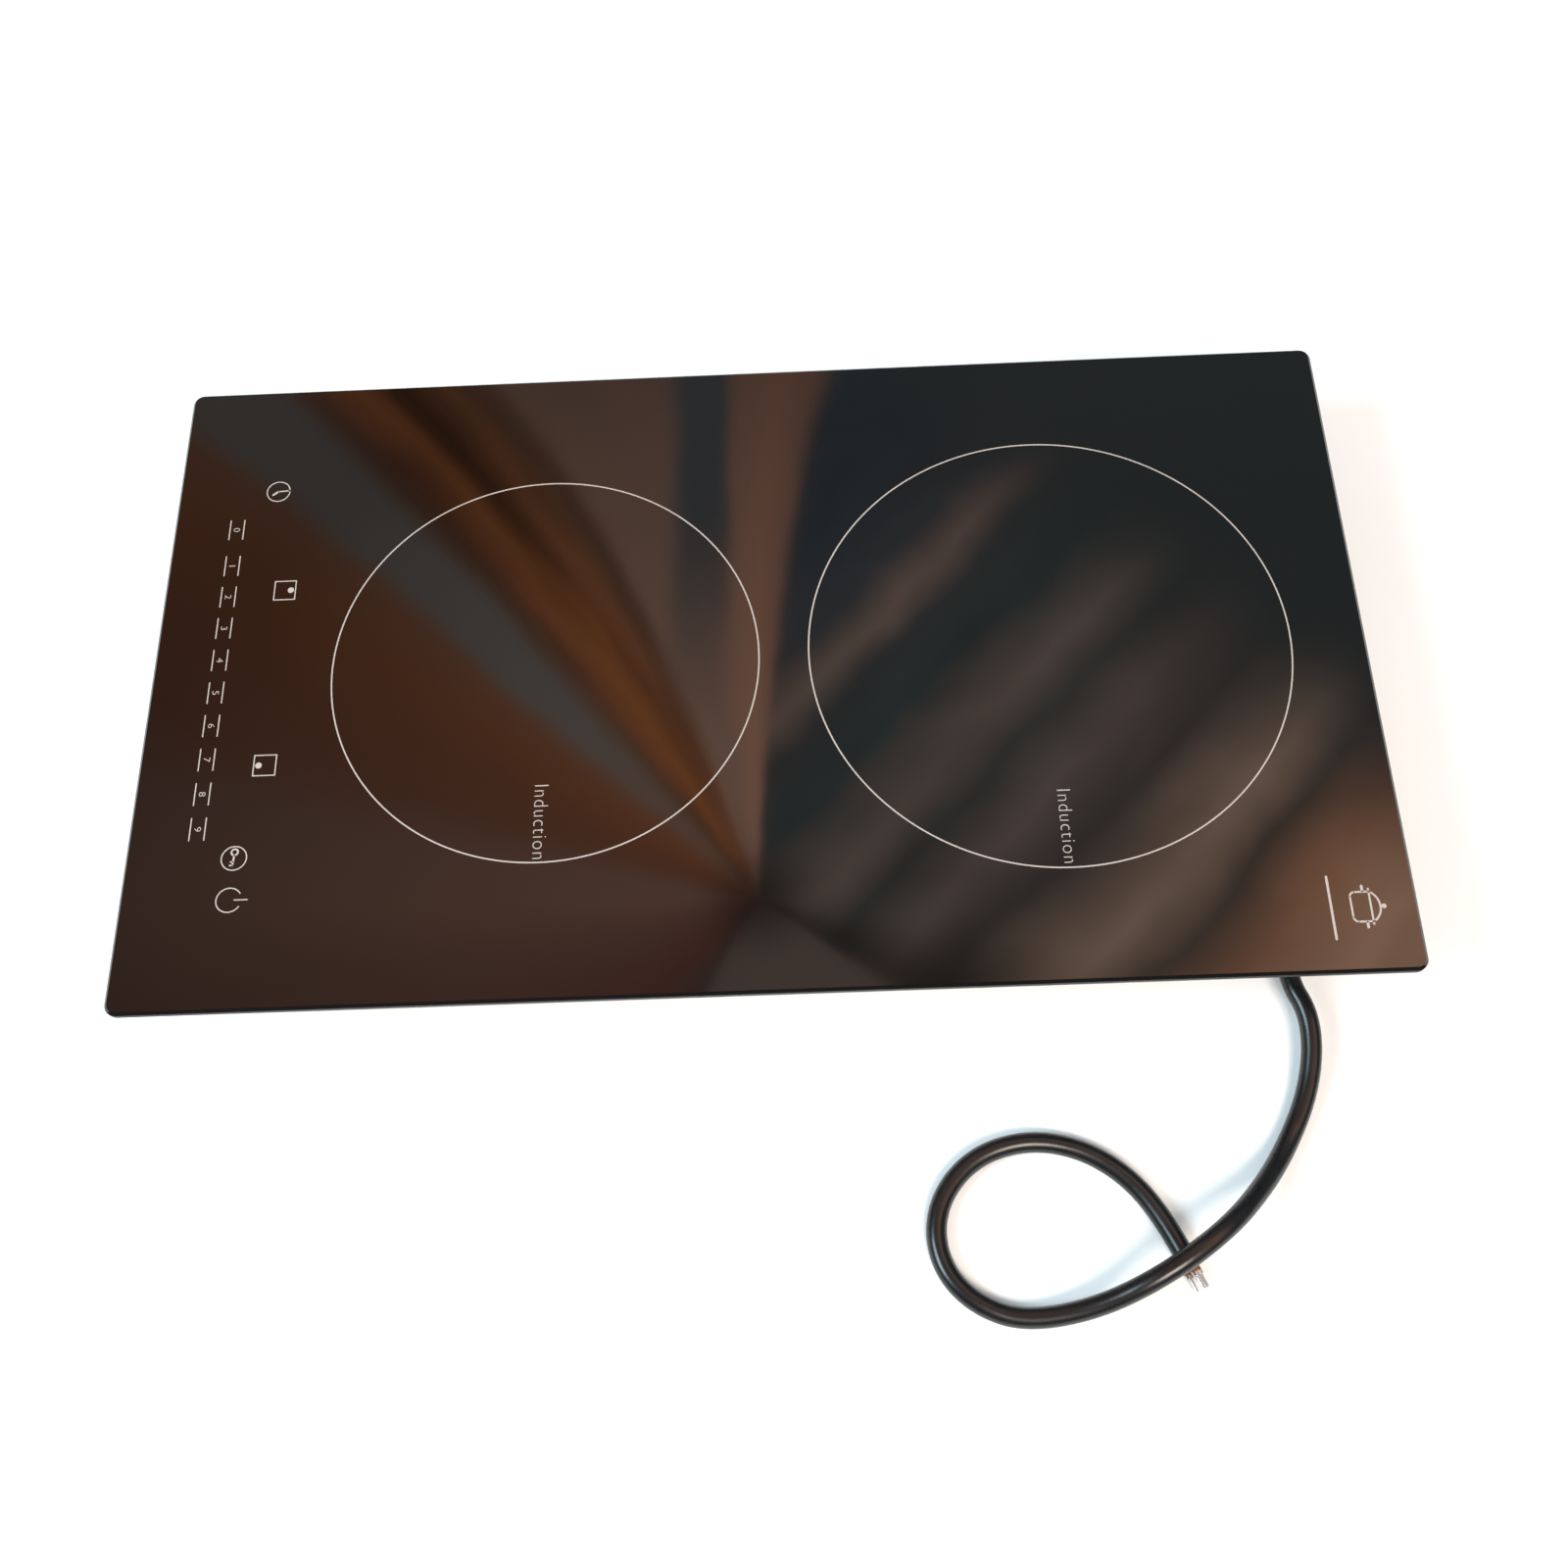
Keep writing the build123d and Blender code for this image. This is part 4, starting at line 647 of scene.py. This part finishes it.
make_print("print_zone_rings", draw_zones)
make_print("print_zone_words", draw_zone_words)
make_print("print_power_scale", draw_power_scale)
make_print("print_timer_symbol", draw_timer)
make_print("print_zone_keys", draw_zone_keys)
make_print("print_lock_symbol", draw_lock)
make_print("print_power_symbol", draw_power)
make_print("print_maker_mark", draw_maker_mark)


# ------------------------------------------------------------------ studio
FLOOR_HALF, FLOOR_DROP = 4.0, 0.0002


def make_floor():
    """Plain pale floor."""
    mesh = bmesh.new()
    bmesh.ops.create_grid(mesh, x_segments=2, y_segments=2, size=FLOOR_HALF)
    data = bpy.data.meshes.new("studio_floor")
    mesh.to_mesh(data)
    mesh.free()
    floor = bpy.data.objects.new("studio_floor", data)
    floor.location.z = -FLOOR_DROP
    bpy.context.scene.collection.objects.link(floor)
    dress(floor, plain("floor_paint", (0.86, 0.86, 0.86), 0.85, grain=6.0, spread=0.01, bump=0.0))


PANEL_AIM = (0.1, 0.0, 0.0)
PANEL_SIDE = 0.9


def add_panel(name, at, watts, colour):
    """Soft square lamp aimed at the cooktop."""
    data = bpy.data.lights.new(name, "AREA")
    data.shape = "RECTANGLE"
    data.size = data.size_y = PANEL_SIDE
    data.energy = watts
    data.color = colour
    lamp = bpy.data.objects.new(name, data)
    lamp.location = at
    lamp.rotation_euler = (Vector(PANEL_AIM) - Vector(at)).to_track_quat("-Z", "Y").to_euler()
    bpy.context.scene.collection.objects.link(lamp)


def math_node(tree, operation, first, second=None):
    """Math node on sockets or plain numbers."""
    node = tree.nodes.new("ShaderNodeMath")
    node.operation = operation
    for socket, value in zip(node.inputs, (first, second)):
        if value is None:
            continue
        if isinstance(value, (int, float)):
            socket.default_value = value
        else:
            tree.links.new(value, socket)
    return node.outputs["Value"]


def times(tree, first, second):
    """Product of two values."""
    return math_node(tree, "MULTIPLY", first, second)


def blended(tree, factor, first, second):
    """Mix of two colours, each a socket or plain numbers."""
    node = tree.nodes.new("ShaderNodeMix")
    node.data_type = "RGBA"
    tree.links.new(factor, node.inputs["Factor"])
    for name, value in (("A", first), ("B", second)):
        if isinstance(value, tuple):
            node.inputs[name].default_value = (*value, 1.0)
        else:
            tree.links.new(value, node.inputs[name])
    return node.outputs["Result"]


def stepped(tree, value, low, high, kind="SMOOTHSTEP"):
    """Step from 0 at low to 1 at high, smooth or straight; low may be the larger."""
    node = tree.nodes.new("ShaderNodeMapRange")
    node.interpolation_type = kind
    node.inputs["From Min"].default_value = low
    node.inputs["From Max"].default_value = high
    tree.links.new(value, node.inputs["Value"])
    return node.outputs["Result"]


def within(tree, value, low, high):
    """1 between two soft edges, 0 outside; each edge is (where it is 0, where it is 1)."""
    return times(tree, stepped(tree, value, *low), stepped(tree, value, *high))


def joined(tree, first, second):
    """Vector with two values as X and Y."""
    node = tree.nodes.new("ShaderNodeCombineXYZ")
    tree.links.new(first, node.inputs["X"])
    tree.links.new(second, node.inputs["Y"])
    return node.outputs["Vector"]


def scaled(tree, vector, factor):
    """Vector or colour times a value."""
    node = tree.nodes.new("ShaderNodeVectorMath")
    node.operation = "SCALE"
    tree.links.new(vector, node.inputs["Vector"])
    tree.links.new(factor, node.inputs["Scale"])
    return node.outputs["Vector"]


def swayed(tree, value, vector, scale, amount):
    """A value pushed up and down by noise."""
    return math_node(tree, "ADD", value, ranged(tree, noise(tree, vector, scale, 3.0), -amount, amount))


SKY_STRENGTH = 2.4
PALE = (0.267, 0.273, 0.280)
HORIZON = (0.062, 0.064, 0.068)
SKY_LOW, SKY_HIGH = 0.45, 0.7
STEEPEST = 0.2
# Soft drapes overhead, mirrored by the glass. Their pattern lies on a flat plan in metres: a
# direction's slope, sideways / up, times DRAPE_HEIGHT, measured from DRAPE_CENTRE.
DRAPE_HEIGHT = 0.611
DRAPE_CENTRE = (0.335, 0.024)
GATHER = (0.111, 0.0)
GATHER_SHADE, GATHER_R = 0.3, 0.03
SWAY_SCALE = 9.0
# Pleats by their bearing about the gather, 0 to the left and more towards the rear, as a part of the
# way from FAN_LOW to FAN_HIGH. They bend by FAN_BEND and sag by FAN_DROOP radians per metre outwards.
FAN_LOW, FAN_HIGH = math.radians(-180), math.radians(10)
FAN_BEND = math.radians(24)
FAN_DROOP, DROOP_FROM = math.radians(40), 0.11
FAN_SWAY = 0.035
PLEATS = [
    (0.00, (0.27, 0.20, 0.17)),
    (0.14, (0.26, 0.19, 0.16)),
    (0.165, (0.12, 0.07, 0.06)),
    (0.21, (0.17, 0.08, 0.065)),
    (0.26, (0.22, 0.08, 0.06)),
    (0.37, (0.27, 0.12, 0.09)),
    (0.43, (0.31, 0.15, 0.11)),
    (0.48, (0.38, 0.20, 0.14)),
    (0.54, (0.36, 0.19, 0.14)),
    (0.58, (0.34, 0.13, 0.07)),
    (0.62, (0.37, 0.13, 0.06)),
    (0.66, (0.44, 0.15, 0.06)),
    (0.69, (0.46, 0.18, 0.09)),
    (0.715, (0.44, 0.24, 0.16)),
    (0.74, (0.42, 0.23, 0.15)),
    (0.755, (0.32, 0.17, 0.11)),
    (0.77, (0.62, 0.20, 0.08)),
    (0.795, (0.76, 0.25, 0.07)),
    (0.815, (0.62, 0.20, 0.07)),
    (0.84, (0.56, 0.22, 0.10)),
    (0.86, (0.66, 0.38, 0.27)),
    (0.89, (0.60, 0.36, 0.27)),
    (0.935, (0.88, 0.43, 0.29)),
    (1.00, (0.27, 0.20, 0.17)),
]
# Slanting folds behind, by the distance across them, as a part of the way from FOLD_LOW to
# FOLD_HIGH.
FOLD_LOW, FOLD_HIGH = -0.02, 0.27
FOLD_SWAY = 0.022
FOLDS = [
    (0.00, (0.08, 0.12, 0.16)),
    (0.10, (0.13, 0.15, 0.17)),
    (0.155, (0.62, 0.42, 0.34)),
    (0.20, (0.13, 0.15, 0.16)),
    (0.29, (0.10, 0.15, 0.16)),
    (0.385, (0.54, 0.40, 0.34)),
    (0.45, (0.14, 0.16, 0.16)),
    (0.535, (0.46, 0.34, 0.30)),
    (0.61, (0.18, 0.16, 0.15)),
    (0.72, (1.10, 0.72, 0.52)),
    (0.79, (0.24, 0.18, 0.15)),
    (0.88, (1.10, 0.52, 0.30)),
    (1.00, (1.50, 0.84, 0.55)),
]
DUSK = (0.09, 0.12, 0.13)
COOL_STRIPE = (0.14, 0.17, 0.19)
COOL_PLEAT = (0.34, 0.31, 0.28)
# Soft edges in radians of bearing, in metres from the gather or in metres on the plan.
GATHERED = ((-0.68, -0.60), (-0.26, -0.40))
DEEP_CREASE, DEEP_FROM, DEEP_SHADE = ((-0.52, -0.46), (-0.42, -0.45)), (0.14, 0.21), 0.4
RIM_CREASE, RIM_FROM, RIM_SHADE = ((-0.38, -0.33), (-0.29, -0.32)), (0.09, 0.16), 0.6
COOL_EDGES, COOL_FROM = ((-0.84, -0.78), (-0.64, -0.70)), (0.02, 0.13)
STRIPE_EDGES, STRIPE_END = ((-0.040, -0.028), (-0.006, -0.014)), (0.05, -0.09)
REAR_EDGES = ((0.01, 0.06), (2.24, 2.14))
VALLEY, VALLEY_SHADE = (1.65, 2.12), 0.35
LEFT_DUSK = (-0.18, -0.09)


def front_pleats(tree, swept, reach, plan_x, plan_y):
    """Warm pleats that fan out from the gather: fine and deep creases, a cool pleat and stripe."""
    pleats = ramp(tree, stepped(tree, swept, FAN_LOW, FAN_HIGH, "LINEAR"), PLEATS)
    threads = joined(tree, times(tree, swept, 9.0), times(tree, reach, 5.0))
    fine = stepped(tree, noise(tree, threads, 1.0, 2.0), 0.60, 0.40)
    fine = times(tree, fine, within(tree, swept, *GATHERED))
    crease = math_node(tree, "SUBTRACT", 1.0, times(tree, fine, 0.45))
    deep = times(tree, within(tree, swept, *DEEP_CREASE), stepped(tree, reach, *DEEP_FROM))
    crease = times(tree, crease, ranged(tree, deep, 1.0, DEEP_SHADE))
    rim = times(tree, within(tree, swept, *RIM_CREASE), stepped(tree, reach, *RIM_FROM))
    crease = times(tree, crease, ranged(tree, rim, 1.0, RIM_SHADE))
    cool = times(tree, within(tree, swept, *COOL_EDGES), stepped(tree, reach, *COOL_FROM))
    pleats = blended(tree, cool, pleats, COOL_PLEAT)
    pleats = scaled(tree, pleats, times(tree, crease, stretch_light(tree, reach)))
    stripe_y = swayed(tree, plan_y, joined(tree, plan_x, plan_y), 12.0, 0.006)
    stripe = within(tree, stripe_y, *STRIPE_EDGES)
    stripe = times(tree, stripe, stepped(tree, plan_x, *STRIPE_END))
    return blended(tree, stripe, pleats, COOL_STRIPE)


def stretch_light(tree, reach):
    """Brightness of the pleats, falling away from the gather."""
    return ranged(tree, stepped(tree, reach, 0.05, 0.27, "LINEAR"), 1.4, 0.6)


def rear_folds(tree, plan_x, plan_y):
    """Dim cool drape with warm folds that slant across it."""
    half = math.sqrt(0.5)
    across = times(tree, math_node(tree, "ADD", plan_x, plan_y), half)
    along = times(tree, math_node(tree, "SUBTRACT", plan_x, plan_y), half)
    bent = swayed(tree, across, joined(tree, plan_x, plan_y), SWAY_SCALE, FOLD_SWAY)
    folds = ramp(tree, stepped(tree, bent, FOLD_LOW, FOLD_HIGH, "LINEAR"), FOLDS)
    patches = joined(tree, times(tree, across, 26.0), times(tree, along, 9.0))
    folds = scaled(tree, folds, ranged(tree, noise(tree, patches, 1.0, 3.0), 0.45, 1.5))
    return blended(tree, stepped(tree, along, *LEFT_DUSK), DUSK, folds)


def overhead_drapes(tree, plan_x, plan_y):
    """The whole pattern above: pleats in front of the gather, folds behind it."""
    from_x = math_node(tree, "SUBTRACT", plan_x, GATHER[0])
    from_y = math_node(tree, "SUBTRACT", plan_y, GATHER[1])
    turn = math_node(tree, "ARCTAN2", from_y, times(tree, from_x, -1.0))
    squares = math_node(tree, "ADD", times(tree, from_x, from_x), times(tree, from_y, from_y))
    reach = math_node(tree, "SQRT", squares)
    rise = times(tree, stepped(tree, turn, -0.3, 0.0), times(tree, reach, FAN_BEND))
    droop = times(tree, math_node(tree, "SUBTRACT", reach, DROOP_FROM), FAN_DROOP)
    droop = times(tree, droop, within(tree, turn, (-0.75, -0.45), (-0.08, -0.28)))
    swept = math_node(tree, "ADD", math_node(tree, "SUBTRACT", turn, rise), droop)
    swept = swayed(tree, swept, joined(tree, plan_x, plan_y), SWAY_SCALE, FAN_SWAY)
    valley = ranged(tree, stepped(tree, swept, *VALLEY), 1.0, VALLEY_SHADE)
    folds = scaled(tree, rear_folds(tree, plan_x, plan_y), valley)
    pleats = front_pleats(tree, swept, reach, plan_x, plan_y)
    drapes = blended(tree, within(tree, swept, *REAR_EDGES), pleats, folds)
    return scaled(tree, drapes, ranged(tree, stepped(tree, reach, 0.0, GATHER_R), GATHER_SHADE, 1.0))


def make_world():
    """Pale even studio light; reflections show a dim horizon and the drapes overhead."""
    world = bpy.data.worlds.new("studio_world")
    world.use_nodes = True
    tree = world.node_tree
    background = tree.nodes["Background"]
    place = tree.nodes.new("ShaderNodeTexCoord")
    split = tree.nodes.new("ShaderNodeSeparateXYZ")
    tree.links.new(place.outputs["Generated"], split.inputs["Vector"])
    up = math_node(tree, "MAXIMUM", split.outputs["Z"], STEEPEST)
    plan = []
    for axis, centre in zip("XY", DRAPE_CENTRE):
        slope = math_node(tree, "DIVIDE", split.outputs[axis], up)
        plan.append(math_node(tree, "ADD", times(tree, slope, DRAPE_HEIGHT), centre))
    overhead = stepped(tree, split.outputs["Z"], SKY_LOW, SKY_HIGH)
    mirrored = blended(tree, overhead, HORIZON, overhead_drapes(tree, *plan))
    rays = tree.nodes.new("ShaderNodeLightPath")
    feed(tree, background, "Color", blended(tree, rays.outputs["Is Glossy Ray"], PALE, mirrored))
    background.inputs["Strength"].default_value = SKY_STRENGTH
    bpy.context.scene.world = world


make_floor()
add_panel("key_panel", (1.5, 0.5, 2.0), 52.0, (1.0, 0.86, 0.74))
add_panel("cool_panel", (0.5, -1.6, 1.6), 46.0, (0.66, 0.90, 1.0))
make_world()
bpy.context.scene.view_settings.view_transform = "Standard"
